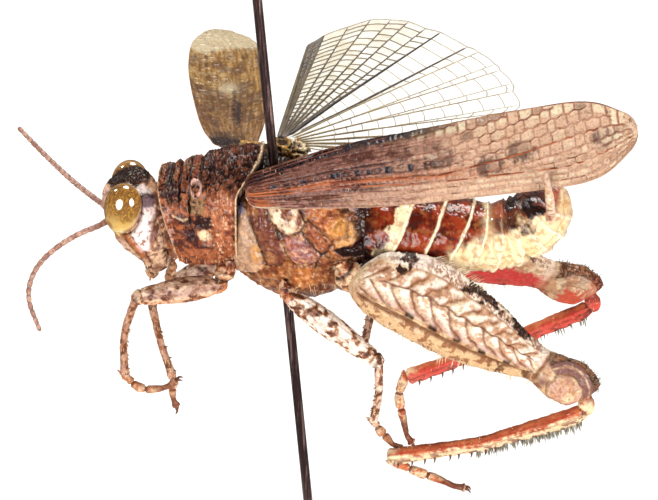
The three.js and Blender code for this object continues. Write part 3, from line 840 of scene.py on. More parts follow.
# %% Mouthparts
pale = shell(
    "pale_limb", 0xD4AC86, 0xB07E58, 0x6A3A24,
    marks=[("brown", 0x744028), ("grey", 0xA07C70), ("white", 0xF6ECE0), ("orange", 0xB8683A),
           ("dark", 0x3C241C)],
    gloss=0.3, coat=0.6, grit=0.02, dirt_and_shade_tints=[("white", 0xA87858)],
)


def plain_marks(skin, **marks):
    """Every mark of the pale limbs' finish, at 0 where it isn't given."""
    for mark in ("brown", "grey", "white", "orange", "dark"):
        skin.marks[mark] = marks.get(mark, 0)


lip_line = track("labrum", (-9.4, 0, 0), back=0.3)
lip = wrap("labrum", lip_line, up=(-1, 0, 0), rings=40, sides=48, caps=(0.2, 0.3), soft=(0.1, 0.05))
lip.uneven = rough(lip.at, 0.3)
lip.lift(0.03 * lip.uneven - 0.07 * bell(lip.y, 0.07) * (np.cos(lip.turn) > 0)
         - 0.06 * bell(lip.run - 0.4, 0.06))
plain_marks(lip, orange=0.7 * step(lip.uneven, -0.2, 0.3), brown=step(lip.uneven, 0.3, 0.5))
keep("upper_lip", lip, pale, "pale_limb", "labrum")


def jointed(skin, joints, depth=0.06, width=0.05):
    """Sinks a groove at each joint, given as places from 0 to 1 along the skin."""
    for joint in joints:
        skin.lift(-depth * bell(skin.run - joint * skin.length, width))


for name in ("left", "right"):
    node = f"palp_{name}"
    palp = wrap(node, track(node, (-8, 0, -1), back=0.3), rings=40, sides=20, caps=(0.15, 0.2), tube=True)
    palp.uneven = rough(palp.at, 0.3)
    jointed(palp, (0.3, 0.62), 0.08)
    plain_marks(palp, orange=0.5 * step(palp.uneven, -0.1, 0.3), white=step(palp.u, 0.8, 0.95))
    keep(f"{name}_palp", palp, pale, "pale_limb", node)

# %% [markdown]
# A feeler is a string of about two dozen little barrels after a thick first joint. The solid is thicker
# than the real one, so the skin uses only its middle line. The waists between the barrels are sculpted.

# %% Feelers
f = Finish("feeler", Coat_Weight=0.15, Coat_Roughness=0.2)
tint = f.mix(f.noise(2.5, detail=4).span(0.4, 0.6), 0xB48A74, 0x8A5C4C)
tint = f.mix(f.noise(10, detail=3).span(0.5, 0.65) * 0.6, tint, 0x5E3A34)
tint = f.mix(f.mark("relief").span(-0.03, -0.005, 0.7, 0), tint, 0x6A4840)
feeler_finish = f.output(Base_Color=tint, Roughness=0.42 + 0.2 * f.noise(9),
                         Normal=f.bump(f.noise(14, detail=4), 0.015))
for name, barrels in (("left", 21), ("right", 19)):
    node = f"antenna_{name}"
    line = track(node, (-9, 0, 2), count=24, back=0.2)
    feeler = wrap(node, line, rings=barrels * 10, sides=16, caps=(0.12, 0.2), tube=True, ease=0)
    place = feeler.run / feeler.length
    girth = 0.155 - 0.03 * place + 0.12 * bell(feeler.run, 0.4)
    wanted = np.minimum(girth * np.sqrt(np.clip(feeler.radius / np.median(feeler.radius), 0, 1)), girth)
    feeler.at = feeler.at + feeler.out * (wanted - feeler.radius)[:, None]
    beat = (place * barrels) % 1
    feeler.lift(-0.032 * bell(np.minimum(beat, 1 - beat), 0.13) * step(feeler.radius, 0.02, 0.1))
    keep(f"{name}_feeler", feeler, feeler_finish, "feeler", node)

# %% [markdown]
# The saddle behind the head, the pronotum, is one curved plate: a knobbed crest runs along its back,
# three furrows cross it, its back is wrinkled and almost black, and its sides hang down as russet
# lobes. Its ends slant, so its grid is laid between two slanting margins instead of square rings.

# %% Pronotum skin
SADDLE = {"front": -8.5, "rear": -4.4, "axis": 1.5, "middle": 2.4, "height": 4.1, "slant": 1.15,
          "point": 1.2}
UPRIGHT = 1.62  # the height above the middle at which the front margin doesn't slant


def saddle_skin(columns, rows):
    """A closed skin on the pronotum. u runs from its front margin to its rear one."""
    at, triangles = solid_mesh("pronotum")
    tree = BVHTree.FromPolygons(at.tolist(), triangles.tolist())
    bm, u, v = unit_grid(columns, rows)
    rim = 0.03  # the share of the grid that closes each end
    t = np.clip((u - rim) / (1 - 2 * rim), 0, 1)
    reach = np.clip(np.minimum(u, 1 - u) / rim, 0, 1)
    turn = 2 * np.pi * v
    out = np.stack([np.zeros_like(u), -np.sin(turn), np.cos(turn)], 1)
    radius = np.full(len(u), 2.5)
    far = 9.0  # farther out than the solid reaches
    for _ in range(3):
        rise = SADDLE["axis"] + radius * np.cos(turn) - SADDLE["middle"]
        forward = (UPRIGHT - rise) / SADDLE["height"] * SADDLE["slant"] * (1 - t) ** 2
        x = SADDLE["front"] + t * (SADDLE["rear"] - SADDLE["front"]) + forward
        x = x + SADDLE["point"] * step(rise, 1.2, 3.3) * t**3
        inner = np.clip(x, at[:, 0].min() + 0.05, at[:, 0].max() - 0.05)
        axis = np.stack([inner, np.zeros_like(x), np.full_like(x, SADDLE["axis"])], 1)
        for i, (a, o) in enumerate(zip(axis, out)):
            distance = tree.ray_cast(Vector(a + far * o), Vector(-o), far)[3]
            if distance is not None:
                radius[i] = far - distance
        shaped = radius.reshape(rows + 1, columns + 1)
        shaped = blurred(blurred(shaped, 0.025 * rows, 0, closed=True), 0.02 * columns, 1)
        radius = shaped.reshape(-1)
    axis[:, 0] = x
    size = radius * np.sqrt(reach * (2 - reach)) ** 0.6
    skin = Skin(bm, axis + out * size[:, None], out, u, v)
    skin.t = t
    return skin


saddle = saddle_skin(150, 230)
print("pronotum from", saddle.at.min(0).round(2), "to", saddle.at.max(0).round(2))

# %% Pronotum's zones
saddle.uneven = rough(saddle.at, 0.55)
fine_uneven = rough(saddle.at, 0.2, shift=4)
patch = rough(saddle.at, 0.3, shift=14)
knobs = folds(saddle.at * (1, 1.4, 1.4), 0.42, shift=8)
wrinkles = folds(saddle.at @ Matrix.Rotation(0.5, 3, "Y") * (0.5, 1.6, 1.8), 0.34, shift=2)
granule = grains(saddle.at + 0.05 * rough(saddle.at, 0.3)[:, None], 0.17)
lobe_low = np.interp(saddle.t, [0, 0.35, 0.7, 1], [-0.1, -0.25, -0.1, 0.25])
ribbed = fade(saddle.x, -6.4, -6.1)  # the front part, in front of the last furrow
back = step(saddle.z + 0.3 * saddle.uneven - 0.2 * (saddle.x + 6.2), 3.5, 4.2) * (1 - ribbed)
brow = step(saddle.z + 0.4 * saddle.uneven, 2.9, 3.5) * ribbed
FURROWS = ((-7.78, 4.0, 0.07), (-7.32, 3.2, 0.06), (-6.78, 3.0, 0.05), (-6.28, 4.2, 0.07))
furrows = most(*(bell(saddle.x - x + 0.05 * saddle.uneven, width) * step(saddle.z, low - 0.4, low + 0.4)
                 for x, low, width in FURROWS))
bent = bell(to_line(saddle, [(-6.78, 3.3), (-6.75, 2.3), (-6.4, 1.15)]) + 0.03 * saddle.uneven, 0.03)
below = step(lobe_low - saddle.z, -0.02, 0.16)
rear_rim = step(saddle.u, 0.945, 0.965) * (1 - below)
front_rim = fade(saddle.u, 0.035, 0.05) * (1 - below)
print("black back on", round(back.mean() * 100), "% of the saddle")

# %% Pronotum sculpting
saddle.lift(-0.17 * furrows - 0.3 * below - 0.08 * bent)
saddle.lift(0.07 * bell(saddle.z - lobe_low - 0.1, 0.09) + 0.08 * rear_rim + 0.05 * front_rim)
saddle.lift(-0.05 * bell(saddle.u - 0.935, 0.012) * (1 - below))
saddle.lift(back * (0.26 * (wrinkles - 0.62) + 0.05 * fine_uneven))
saddle.lift(brow * (0.22 * (knobs - 0.55) + 0.07 * granule + 0.05 * fine_uneven) * (1 - furrows))
saddle.lift((1 - back) * (1 - brow) * (0.06 * saddle.uneven + 0.05 * granule * step(saddle.x, -6.3, -5.9)
                                       + 0.03 * fine_uneven))
saddle.lift(0.1 * bell(np.arctan2(saddle.y, saddle.z - 2.4), 0.09) * step(saddle.z, 3, 4))
heart = np.hypot((saddle.x + 6.48) / 0.27, (saddle.z - 3.9 - 0.3 * abs(saddle.x + 6.48)) / 0.32)
callus = bell(heart - 1, 0.25)
saddle.lift(0.1 * callus - 0.05 * bell(heart, 0.6) + 0.04 * bell(heart, 0.3))
knob = np.hypot((saddle.x + 5.9) / 0.36, (saddle.z - 1.0) / 0.1)
saddle.lift(0.1 * bell(knob, 0.9))
pit_wide = abs(saddle.x + 6.08 - 0.15 * (saddle.z - 2.3)) / 0.42
pit_high = abs(saddle.z - 2.32) / 0.4
pit = step(-np.maximum(pit_wide, pit_high) - 0.25 * patch, -1.1, -0.85)
saddle.lift(-0.05 * pit)
print("saddle relief from", saddle.marks["relief"].min().round(2), "to",
      saddle.marks["relief"].max().round(2))

# %% Pronotum markings
flank_glow = blot(saddle, -5.3, 2.4, 1.0, 1.6, ragged=0.4, soft=0.5)
low_glow = blot(saddle, -6.6, 0.3, 1.3, 0.5, ragged=0.5)
rear_grains = step(granule + 0.3 * fine_uneven, 0.4, 0.65) * step(saddle.x, -6.1, -5.6)
saddle.marks.update(
    back=shown(back * (0.75 + 0.4 * patch) + brow * step(patch + 0.4 * saddle.uneven, -0.2, 0.4) * 0.7),
    orange=shown(flank_glow + 0.7 * low_glow) * step(patch, -0.4, 0.2),
    olive=blot(saddle, -6.4, 3.05, 0.45, 0.45, ragged=0.5) * 0.8,
    dark=most(
        0.9 * blot(saddle, -7.15, 2.3, 0.55, 0.35, ragged=0.9),
        0.95 * blot(saddle, -6.8, 1.45, 0.5, 0.5, ragged=0.8),
        0.9 * blot(saddle, -7.75, 3.75, 0.4, 0.4, ragged=0.5),
        0.75 * step(saddle.uneven + patch, 0.3, 0.55) * ribbed,
        0.8 * step(lobe_low + 0.25 - saddle.z, 0, 0.2) * step(saddle.x, -6.0, -5.4),
        # The last two entries darken the closing ends beyond the front and rear rims: a painted shadow.
        0.8 * bent, 0.9 * pit, bell(knob, 0.9), step(saddle.u, 0.975, 0.985),
        0.9 * fade(saddle.u, 0.02, 0.03)),
    cream=most(
        blot(saddle, -6.05, 1.62, 0.33, 0.28, ragged=0.25),
        0.9 * rear_rim * fade(saddle.u, 0.975, 0.985), 0.6 * front_rim,
        0.6 * rear_grains * step(patch, -0.3, 0.2) * (1 - back),
        0.2 * step(granule + 0.5 * patch, 0.35, 0.6) * brow * (1 - furrows),
        0.7 * bell(to_line(saddle, [(-7.6, 2.55), (-7.1, 2.35), (-6.85, 2.45)]) + 0.04 * patch, 0.05)),
    rose=np.maximum(callus * 0.85, 0.6 * blot(saddle, -7.9, 1.6, 0.3, 1.2, ragged=0.6) * (patch > 0)),
)
russet = shell(
    "russet_shell", 0x985432, 0x6C3422, 0x200E0A,
    marks=[("orange", 0xAE6846), ("olive", 0x8C6A44), ("back", 0x28120C), ("dark", 0x26141C),
           ("cream", 0xE6C49C),
           ("rose", 0xD8AC9C)],
    gloss=0.3, grit=0.03, coat=0.55, speck=0.7, wear_and_highlight=0.2, painted_glint=0.1,
)
keep("saddle_plate", saddle, russet, "body_shell", "pronotum")
lobe_edge = step(0.3 - saddle.z, -0.3, 0.2) + 0.04
hairs("saddle_hairs", saddle, lobe_edge, 90, 0.24, (0.3, 0, -0.3), "body_shell", girth=0.014)

# %% [markdown]
# The side of the thorax is a mosaic of plates that meet at deep dark seams, slanting down and back
# towards the legs. Each plate is an outline in side view: the skin is raised inside it, with rounded
# edges, and it carries the plate's colour. The far side has the same plates. The deepest clefts are sunk
# and painted black: painted shade.

# %% Thorax plates
PLATES = {
    "olive": [(-4.6, 3.1), (-3.93, 3.1), (-3.48, 1.9), (-3.03, 0.4), (-3.18, -0.04), (-4.04, -0.5),
              (-4.7, -0.3)],
    "dark": [(-3.95, 3.5), (-3.03, 3.5), (-2.78, 2.73), (-2.18, 1.48), (-1.9, 0.85), (-2.23, 0.37),
             (-2.85, 0.3),
             (-3.18, 1.06), (-3.53, 2.04)],
    "ivory": [(-2.88, 3.2), (-2.28, 3.5), (-1.63, 3.7), (-1.3, 3.1), (-1.05, 2.6), (-1.2, 2.25),
              (-1.78, 1.95),
              (-2.2, 2.1), (-2.78, 2.75)],
    "orange": [(-1.53, 3.8), (0.12, 3.7), (1.03, 2.55), (1.03, 1.91), (0.53, 1.68), (-0.03, 1.99),
               (-1.18, 3.11)],
    "umber": [(-1.0, 2.6), (-0.7, 2.63), (-0.13, 2.05), (0.28, 1.67), (0.12, 1.17), (-0.2, 0.99),
              (-0.7, 1.55), (-1.1, 2.15)],
    "mauve": [(-2.15, 2.0), (-1.75, 1.85), (-1.2, 2.1), (-0.78, 1.45), (-0.23, 0.9), (-0.43, 0.54),
              (-1.28, 0.29), (-1.9, 0.95)],
    "rust": [(-1.6, 0.34), (-0.48, 0.49), (-0.58, -0.07), (-0.28, -0.83), (-1.18, -1.1), (-1.8, -0.5)],
    "tawny": [(0.38, 1.6), (1.08, 1.8), (1.08, 2.55), (1.63, 2.43), (1.73, 1.77), (1.33, 1.3), (0.5, 1.25)],
    "smoke": [(0.78, 3.7), (1.9, 3.8), (1.83, 3.2), (1.55, 2.75), (1.08, 3.0)],
}
# The clefts below are deep, sunk and painted black: painted shade.
SHADED_CLEFTS = [[(0.4, 1.15), (1.33, 1.22), (1.75, 1.6), (2.1, 1.7), (2.2, 0.9), (1.4, 0.6), (0.85, 0.75)],
        [(-3.05, 3.45), (-1.6, 3.75), (-1.6, 4.1), (-3.1, 4.1)]]  # deep black clefts
SEAM_DARKNESS = {"dark": 0.9, "ivory": 0.75, "smoke": 0.8, "mauve": 0.6, "rust": 0.5}
LIGHT_EDGED = ("ivory", "umber", "mauve", "olive")
FINE_GROOVES = ([(-1.15, 1.45), (-0.3, 0.8), (0.05, 1.0)], [(-3.9, 2.9), (-3.1, 0.9)],
                [(-0.4, 0.5), (-0.75, -0.3), (-0.3, -1.0)])
print("plates on each side:", len(PLATES))

# %% Thorax sculpting
thorax_line = smooth_line([(-5.6, 0, 1.2), (2.0, 0, 1.2)])
thorax = wrap("thorax", thorax_line, rings=170, sides=260, caps=(0.3, 0.12), soft=(0.03, 0.03))
thorax.uneven = rough(thorax.at, 0.6)
fine_uneven = rough(thorax.at, 0.2, shift=4)
warp = rough(thorax.at, 0.5, octaves=3, shift=6)
flank = step(abs(thorax.y), 0.9, 1.5)
seams, sutures = np.zeros(len(thorax.x)), np.zeros(len(thorax.x))
for plate, outline in PLATES.items():
    depth = into_outline(thorax, outline) + 0.035 * warp
    thorax.marks[plate] = step(depth, -0.04, 0.1) * flank * (0.85 + 0.15 * warp)
    if plate in LIGHT_EDGED:
        sutures = np.maximum(sutures, bell(depth - 0.06, 0.025) * step(warp, -0.2, 0.4))
    thorax.lift(flank * (0.07 * step(depth, -0.02, 0.09) + 0.13 * step(depth, 0, 0.55)))
    sharp = SEAM_DARKNESS.get(plate, 0.4)
    seams = np.maximum(seams, sharp * bell(depth + 0.03, 0.035 + 0.02 * warp) * step(warp, -0.8, 0.1))
# Each cleft is sunk and made full black in the seam mask: painted shade.
for outline in SHADED_CLEFTS:
    depth = into_outline(thorax, outline) + 0.05 * warp
    thorax.lift(-0.25 * step(depth, -0.05, 0.2) * flank)
    seams = np.maximum(seams, step(depth, -0.06, 0.05))
thorax.lift(flank * (-0.08 * seams + 0.07 * thorax.uneven + 0.05 * warp) + 0.03 * fine_uneven)
for points in FINE_GROOVES:
    thorax.lift(-0.07 * stroke(thorax, points, 0.04) * flank)
pore = np.hypot((thorax.x + 0.05) / 0.22, (thorax.z - 1.72) / 0.15)
knob = np.hypot((thorax.x - 0.72) / 0.3, (thorax.z - 2.25) / 0.3)
thorax.lift(flank * (0.08 * bell(pore - 1, 0.3) - 0.12 * bell(pore, 0.6)
                     + 0.12 * bell(knob, 0.9) - 0.06 * bell(knob - 1.1, 0.15)))
saddle_back = step(thorax.z + 0.2 * warp, 3.3, 3.7) * (1 - flank * (thorax.x < 1.2) * 0.5)
thorax.lift(0.12 * (folds(thorax.at * (0.6, 1, 1), 0.5, shift=2) - 0.6) * saddle_back)
mottle = rough(thorax.at, 0.28, octaves=5, shift=12)
thorax.lift(flank * 0.02 * mottle)
print("thorax relief up to", thorax.marks["relief"].max().round(2))

# %% Thorax markings
BROWN_BLOTS = ((-1.75, 2.85, 0.34, 0.4, 0.8), (-1.3, 2.7, 0.25, 0.4, 0.6), (-2.4, 3.1, 0.07, 0.06, 0.25),
               (-2.65, 2.8, 0.08, 0.07, 0.25), (-2.1, 2.1, 0.12, 0.1, 0.5), (-2.45, 2.4, 0.07, 0.07, 0.25),
               (-1.4, 2.3, 0.25, 0.2, 0.8))
AMBER_BLOTS = ((-3.5, 3.05, 0.2, 0.25, 0.4), (-2.75, 0.7, 0.25, 0.3, 0.5))
mark = thorax.marks
pale_plates = 0.7 * mark["ivory"] + 0.6 * mark["olive"]
mark["brown"] = flank * most(
    *(blot(thorax, *oval) for oval in BROWN_BLOTS), 0.9 * bell(pore, 0.7), 0.5 * step(warp, 0.2, 0.4),
    0.65 * step(mottle, 0.05, 0.45) * (1 - pale_plates))
mark["amber"] = flank * (1 - 0.8 * mark["dark"]) * most(
    *(blot(thorax, *oval) for oval in AMBER_BLOTS), 0.8 * blot(thorax, -3.4, 0.9, 0.25, 0.5, ragged=0.5),
    0.9 * blot(thorax, 0.7, 2.2, 0.5, 0.5, ragged=0.6),
    0.35 * fade(mottle, -0.5, -0.1) * (1 - mark["ivory"]))
mark["lilac"] = flank * np.maximum(blot(thorax, -4.35, 3.0, 0.3, 0.3, ragged=0.3),
                                   0.3 * mark["mauve"] * (fine_uneven > 0.2))
low_glow = fade(mottle, -0.65, -0.35) * (thorax.z < 3.2) * (1 - mark["dark"])
mark["glow"] = flank * np.maximum(0.8 * sutures, 0.3 * low_glow)
mark["rear"] = step(thorax.x + 0.25 * warp, 1.1, 1.6) * 0.95
# Black: the dark joints between plates, painted shade in the clefts, and the dark back.
mark["black"] = shown(np.maximum(seams * flank * step(thorax.z, -0.3, 0.3), 0.9 * saddle_back))
flank_shell = shell(
    "flank_shell", 0x9E5E34, 0x70381E, 0x240E0A,
    marks=[("olive", 0xAA9078), ("dark", 0x582E2A), ("ivory", 0xE6D4B8), ("mauve", 0x965A50),
           ("umber", 0x925238),
           ("orange", 0xA2582E), ("rust", 0x9E5E30), ("tawny", 0xCC9A60), ("smoke", 0x9A8A94),
           ("brown", 0x5A2A1C),
           ("amber", 0xB27C40), ("lilac", 0x8A8498), ("glow", 0xDCB088), ("rear", 0x28100C),
           ("black", 0x0E0808)],
    gloss=0.14, coat=1.0, grit=0.035, painted_glint=0.25, speck=0.5, wear_and_highlight=0.3,
    dirt_and_shade_tints=[("ivory", 0x9A6A4A), ("olive", 0x7A5244)],
)
keep("thorax_plates", thorax, flank_shell, "body_shell", "thorax")
belly_and_back = (thorax.u > 0.02) * (fade(thorax.z, -0.8, -0.2) + 0.5 * step(thorax.z, 3.4, 3.8))
hairs("thorax_hairs", thorax, belly_and_back, 170, 0.4, (0, 0, -0.2), "body_shell", girth=0.016)

# %% [markdown]
# The abdomen is a row of rings. Each ring's rear edge is a thin cream lip that overlaps the next ring,
# so its skin swells towards each lip and drops behind it. The front rings are dark and glossy as
# polished mahogany, and the rear ones are straw coloured, with pleats where the body bends up.

# %% Abdomen's rings
RINGS = (0.0, 1.75, 3.35, 4.75, 6.0, 7.05, 7.95, 8.7, 9.4, 10.1, 10.9, 11.9, 13.0)
# The blackest mark holds black markings and the painted shade where the abdomen meets the thorax.
mahogany = shell(
    "mahogany_shell", 0x8A3018, 0x4C160C, 0x1A0805,
    marks=[("straw", 0xE2CEA6), ("lip", 0xE8D6B4), ("stain", 0x9C5E30), ("blush", 0x8E4438),
           ("soot", 0x120A0A)],
    gloss=0.14, coat=1.0, grit=0.012, speck=0.3, groove_shade=0.4, dirt_and_shade_tints=[("straw", 0xC89850)],
)
tail_line = smooth_line([(1.75, 0, 1.05), (3.6, 0, 1.1), (6, 0, 1.1), (8, 0, 1.0), (9.6, 0, 1.5),
                         (10.6, 0, 2.25),
                         (11.2, 0, 3.0), (11.45, 0, 3.85)], count=400)
tail_run = np.r_[0, np.cumsum(np.linalg.norm(np.diff(tail_line, axis=0), axis=1))]


def abdomen_skin(node, start, end, rings, caps):
    """A skin on one length of the abdomen, with its rings sculpted."""
    part = (tail_run >= start) & (tail_run <= end)
    skin = wrap(node, tail_line[part], up=(-0.05, 0, 1), rings=rings, sides=200, caps=caps,
                soft=(0.03, 0.03), ease=0)
    skin.uneven = rough(skin.at, 0.7)
    fine_uneven = rough(skin.at, 0.25, shift=4)
    place = start + skin.run
    slanted = place - 0.42 * skin.radius * np.cos(skin.turn) * fade(place, 6.5, 9) + 0.06 * skin.uneven
    index = np.interp(slanted, RINGS, np.arange(len(RINGS)))
    beat = index % 1
    size = np.interp(slanted, RINGS, np.r_[np.diff(RINGS), 1])
    lip = step(beat, 1 - 0.2 / size, 1 - 0.12 / size) * (1 - step(beat, 1 - 0.03 / size, 1))
    high = np.cos(skin.turn)
    pleats = np.sin(place * 2 * np.pi / 0.33 + 2 * skin.uneven) * bell(place - 6.9, 1.3)
    pleats = pleats * fade(high, -0.2, 0.9)
    skin.lift(0.09 * beat**1.5 * (1 - step(beat, 1 - 0.05 / size, 1)) + 0.04 * lip - 0.06)
    skin.lift(0.04 * pleats + 0.04 * skin.uneven + 0.012 * fine_uneven)
    side_fold = bell(np.abs(((skin.v + 0.5) % 1) - 0.5) - 0.36, 0.012)
    skin.lift(-0.08 * side_fold)
    rear = step(place + 0.5 * skin.uneven, 5.6, 6.8)
    low_pale = step(-high + 0.6 * (place - 4.4) + 0.5 * skin.uneven, -0.1, 0.5) * step(place, 3.6, 4.8)
    top = step(high + 0.35 * skin.uneven, 0.1, 0.55)
    straw = np.maximum(rear * (1 - top * step(place, 6.2, 7.0) * 0.95), low_pale * (1 - top))
    first = (index < 1) * step(beat + 0.25 * skin.uneven, 0.5, 0.65)
    # The front of the first ring, where it meets the thorax, is darkened: painted shade.
    join = step(-place - 0.5 * skin.uneven, -0.6, -0.1)
    tail_soot = top * step(place, 7.2, 8.0) * (0.55 + 0.45 * step(skin.uneven, -0.3, 0.3))
    tail_soot = tail_soot * (1 - 0.85 * step(place, 10.0, 11.0))
    skin.marks.update(
        straw=shown(np.maximum(straw, first)),
        lip=lip * (1 - top * step(place, 6.5, 7.5)),
        stain=step(rough(skin.at, 0.3, shift=9), 0.22, 0.5) * 0.55,
        blush=step(place + 0.4 * skin.uneven, 9.4, 10.2) * (1 - 0.7 * fade(high, -0.4, 0.1)),
        soot=0.75 * join + tail_soot + 0.8 * blot(skin, 2.6, 0.6, 0.5, 0.9, ragged=0.5),
    )
    return skin


# %% Abdomen and its end
bend = 0.7 * tail_run[-1]
print("abdomen is", round(tail_run[-1], 1), "mm long")
front_rings = abdomen_skin("abdomen", 0, bend + 0.1, 230, (0.1, 0.05))
keep("abdomen_rings", front_rings, mahogany, "abdomen_shell", "abdomen")
tail_rings = abdomen_skin("abdomen_tip", bend, tail_run[-1], 130, (0.05, 0.7))
keep("abdomen_end", tail_rings, mahogany, "abdomen_shell", "abdomen_tip")
for name in ("left", "right"):
    node = f"cercus_{name}"
    cercus = wrap(node, track(node, (10, 0, 2)), rings=50, sides=24, caps=(0.15, 0.3), tube=True)
    cercus.uneven = rough(cercus.at, 0.3)
    cercus.lift(0.02 * cercus.uneven - 0.05 * step(cercus.u, 0.3, 0.9))
    plain_marks(cercus, brown=step(cercus.uneven, 0.1, 0.5) * 0.4,
                white=0.5 * fade(cercus.uneven, -0.2, 0.2))
    keep(f"{name}_cercus", cercus, pale, "pale_limb", node)

# %% [markdown]
# The walking legs have four lengths: a stout coxa at the body, a ridged femur, a slim tibia with short
# spines beneath, and a foot of three joints with soft pads and two hooked claws. The same four
# functions dress all of them, and each length starts where the one before it ends.

# %% Hips
def coxa_piece(name, root):
    node = f"{name}_coxa"
    line = track(node, root, count=8, back=0.2, on=0.15)
    skin = wrap(node, line, rings=60, sides=64, caps=(0.2, 0.35), soft=(0.07, 0.05))
    skin.uneven = rough(skin.at, 0.4)
    jointed(skin, (0.72,), 0.1, 0.07)
    skin.lift(0.05 * bell(skin.run - 0.62 * skin.length, 0.07) + 0.04 * skin.uneven)
    patch = rough(skin.at, 0.3, shift=7)
    hind = name.startswith("hind")
    skin.marks.update(
        orange=0.8 * step(skin.uneven, -0.4, 0.2), dark=0.6 * step(patch, 0.3, 0.5),
        cream=shown(bell(skin.run - 0.62 * skin.length, 0.08) * 0.7 + 0.4 * hind * fade(patch, -0.2, 0.1)
                    + 0.4 * fade(patch, -0.4, -0.1)),
        olive=0, back=0, rose=0)
    keep(f"{name}_hip", skin, russet, "body_shell", node)
    hairs(f"{name}_hip_hairs", skin, step(skin.u, 0.2, 0.4), 30, 0.3, (0, 0, -0.2), "body_shell",
          girth=0.015)


print("a hip's middle line spans", np.ptp(track("fore_left_coxa", (-3.5, 0, 1), count=8), axis=0).round(1))

# %% Thighs of the walking legs
def stripe(skin, place, width):
    """A stripe along a skin, at one place round it."""
    return bell((skin.v - place + 0.5) % 1 - 0.5, width)


def femur_piece(name, root, pallor):
    """Dresses a femur, as pale as it is told to be, and returns where its knee is."""
    node = f"{name}_femur"
    line = track(node, root, count=16, back=0.3, on=0.3)
    skin = wrap(node, line, rings=150, sides=90, caps=(0.25, 0.3), soft=(0.05, 0.03))
    skin.uneven = rough(skin.at, 0.45)
    patch = rough(skin.at * (0.7, 1, 1), 0.42, shift=len(name))
    tiny = rough(skin.at, 0.15)
    ridges = most(*(stripe(skin, place, 0.02) for place in (0.1, 0.4, 0.6, 0.9)))
    ridges = ridges * within(skin.u, 0.05, 0.2, 0.85, 0.95)
    band = stripe(skin, 0.23, 0.07) + stripe(skin, 0.77, 0.07)
    skin.lift(0.05 * ridges - 0.04 * band)
    jointed(skin, (0.9,), 0.08, 0.06)
    skin.lift(0.025 * skin.uneven + 0.015 * tiny)
    knee = step(skin.u, 0.84, 0.92)
    upper = step(np.cos(skin.turn), 0.35, 0.6)
    root_end = fade(skin.u, 0.06, 0.2)
    plain_marks(
        skin,
        brown=shown(most(0.75 * upper * (1 - pallor) * step(patch, -0.6, 0.0),
                         0.9 * step(patch, 0.15, 0.35),
                         0.7 * ridges * (1 - pallor))),
        grey=0.85 * band * (1 - 0.8 * pallor) * fade(skin.u, 0.8, 0.88),
        white=pallor * fade(patch, -0.1, 0.2),
        orange=shown(0.9 * root_end + 0.45 * (1 - pallor) * fade(np.cos(skin.turn), -0.6, -0.3)),
        dark=most(0.8 * knee * step(skin.uneven, -0.5, 0.1), step(patch + 0.3 * tiny, 0.42, 0.55) * 0.9,
                  0.8 * stripe(skin, 0.12, 0.015) * (1 - pallor) * (patch > -0.3)),
    )
    keep(f"{name}_thigh", skin, pale, "pale_limb", node)
    lean = 0.6 * unit(line[-1] - line[0])
    hairs(f"{name}_thigh_hairs", skin, step(skin.u, 0.1, 0.2), 60, 0.25, lean, "pale_limb", girth=0.014)
    return line[-1]


print("ridges along a thigh:", 4)

# %% Spines and shins
def spikes(tubes, line, pairs, length, root_radius, drop, spread=0.35, first=0.35, girth=0.09):
    """Adds two rows of curved spines along a shin, pointing down, outwards and towards the foot."""
    onward = unit(np.gradient(line, axis=0))
    for i in range(2 * pairs):
        side = 1 if i % 2 else -1
        place = first + (0.95 - first) * (i // 2 + random.uniform(-0.15, 0.15)) / (pairs - 1)
        k = int(place * (len(line) - 1))
        sideways = unit(np.cross(onward[k], drop))
        root = line[k] + np.array(drop) * root_radius * 0.75 + sideways * side * root_radius * 0.5
        out = unit(np.array(drop) + side * spread * sideways)
        middle = root + out * length * 0.55 + onward[k] * length * 0.12
        tip = root + out * length + onward[k] * length * 0.45
        tubes.add([root - out * 0.08, root + out * 0.04, middle, tip], girth * np.array((1, 0.95, 0.55, 0)),
                  up=onward[k])


PALE_MARKS = {"relief": 0, "brown": 0.7, "grey": 0, "white": 0, "orange": 0, "dark": 0}


def tibia_piece(name, knee, pallor):
    """Dresses a tibia with its spines and hairs, and returns where its ankle is."""
    node = f"{name}_tibia"
    line = track(node, knee, count=16, back=0.3, on=0.15)
    skin = wrap(node, line, up=(0, 1, 0), rings=130, sides=32, caps=(0.2, 0.2), tube=True)
    skin.uneven = rough(skin.at, 0.4)
    patch = rough(skin.at, 0.35, shift=len(name) + 2)
    skin.lift(0.03 * bell(skin.u - 0.97, 0.03) + 0.05 * bell(skin.u - 0.05, 0.04)
              - 0.045 * within(skin.u, 0.06, 0.15, 0.8, 0.95))
    skin.lift(0.02 * skin.uneven)
    plain_marks(skin, brown=step(patch, -0.1, 0.2) * 0.8, white=pallor * fade(patch, -0.2, 0.1),
                orange=0.25,
                grey=0.5 * (1 - pallor) * fade(patch, -0.2, 0.2), dark=0.75 * step(patch, 0.25, 0.4))
    keep(f"{name}_shin", skin, pale, "pale_limb", node)
    spines = Tubes()
    away_from_knee = unit(line[-1] - line[0])
    drop = unit(np.cross(away_from_knee, (0, 1, 0))) * (1 if "fore" in name else -1)
    spikes(spines, line, 4, 0.14, 0.22, drop, first=0.45, girth=0.055)
    finished(f"{name}_spines", spines.mesh(**PALE_MARKS), pale, "pale_limb")
    hairs(f"{name}_shin_hairs", skin, step(skin.u, 0.1, 0.2), 70, 0.3, 0.6 * away_from_knee, "pale_limb",
          girth=0.014)
    return line[-1]


print("spines carry the marks", ", ".join(PALE_MARKS))

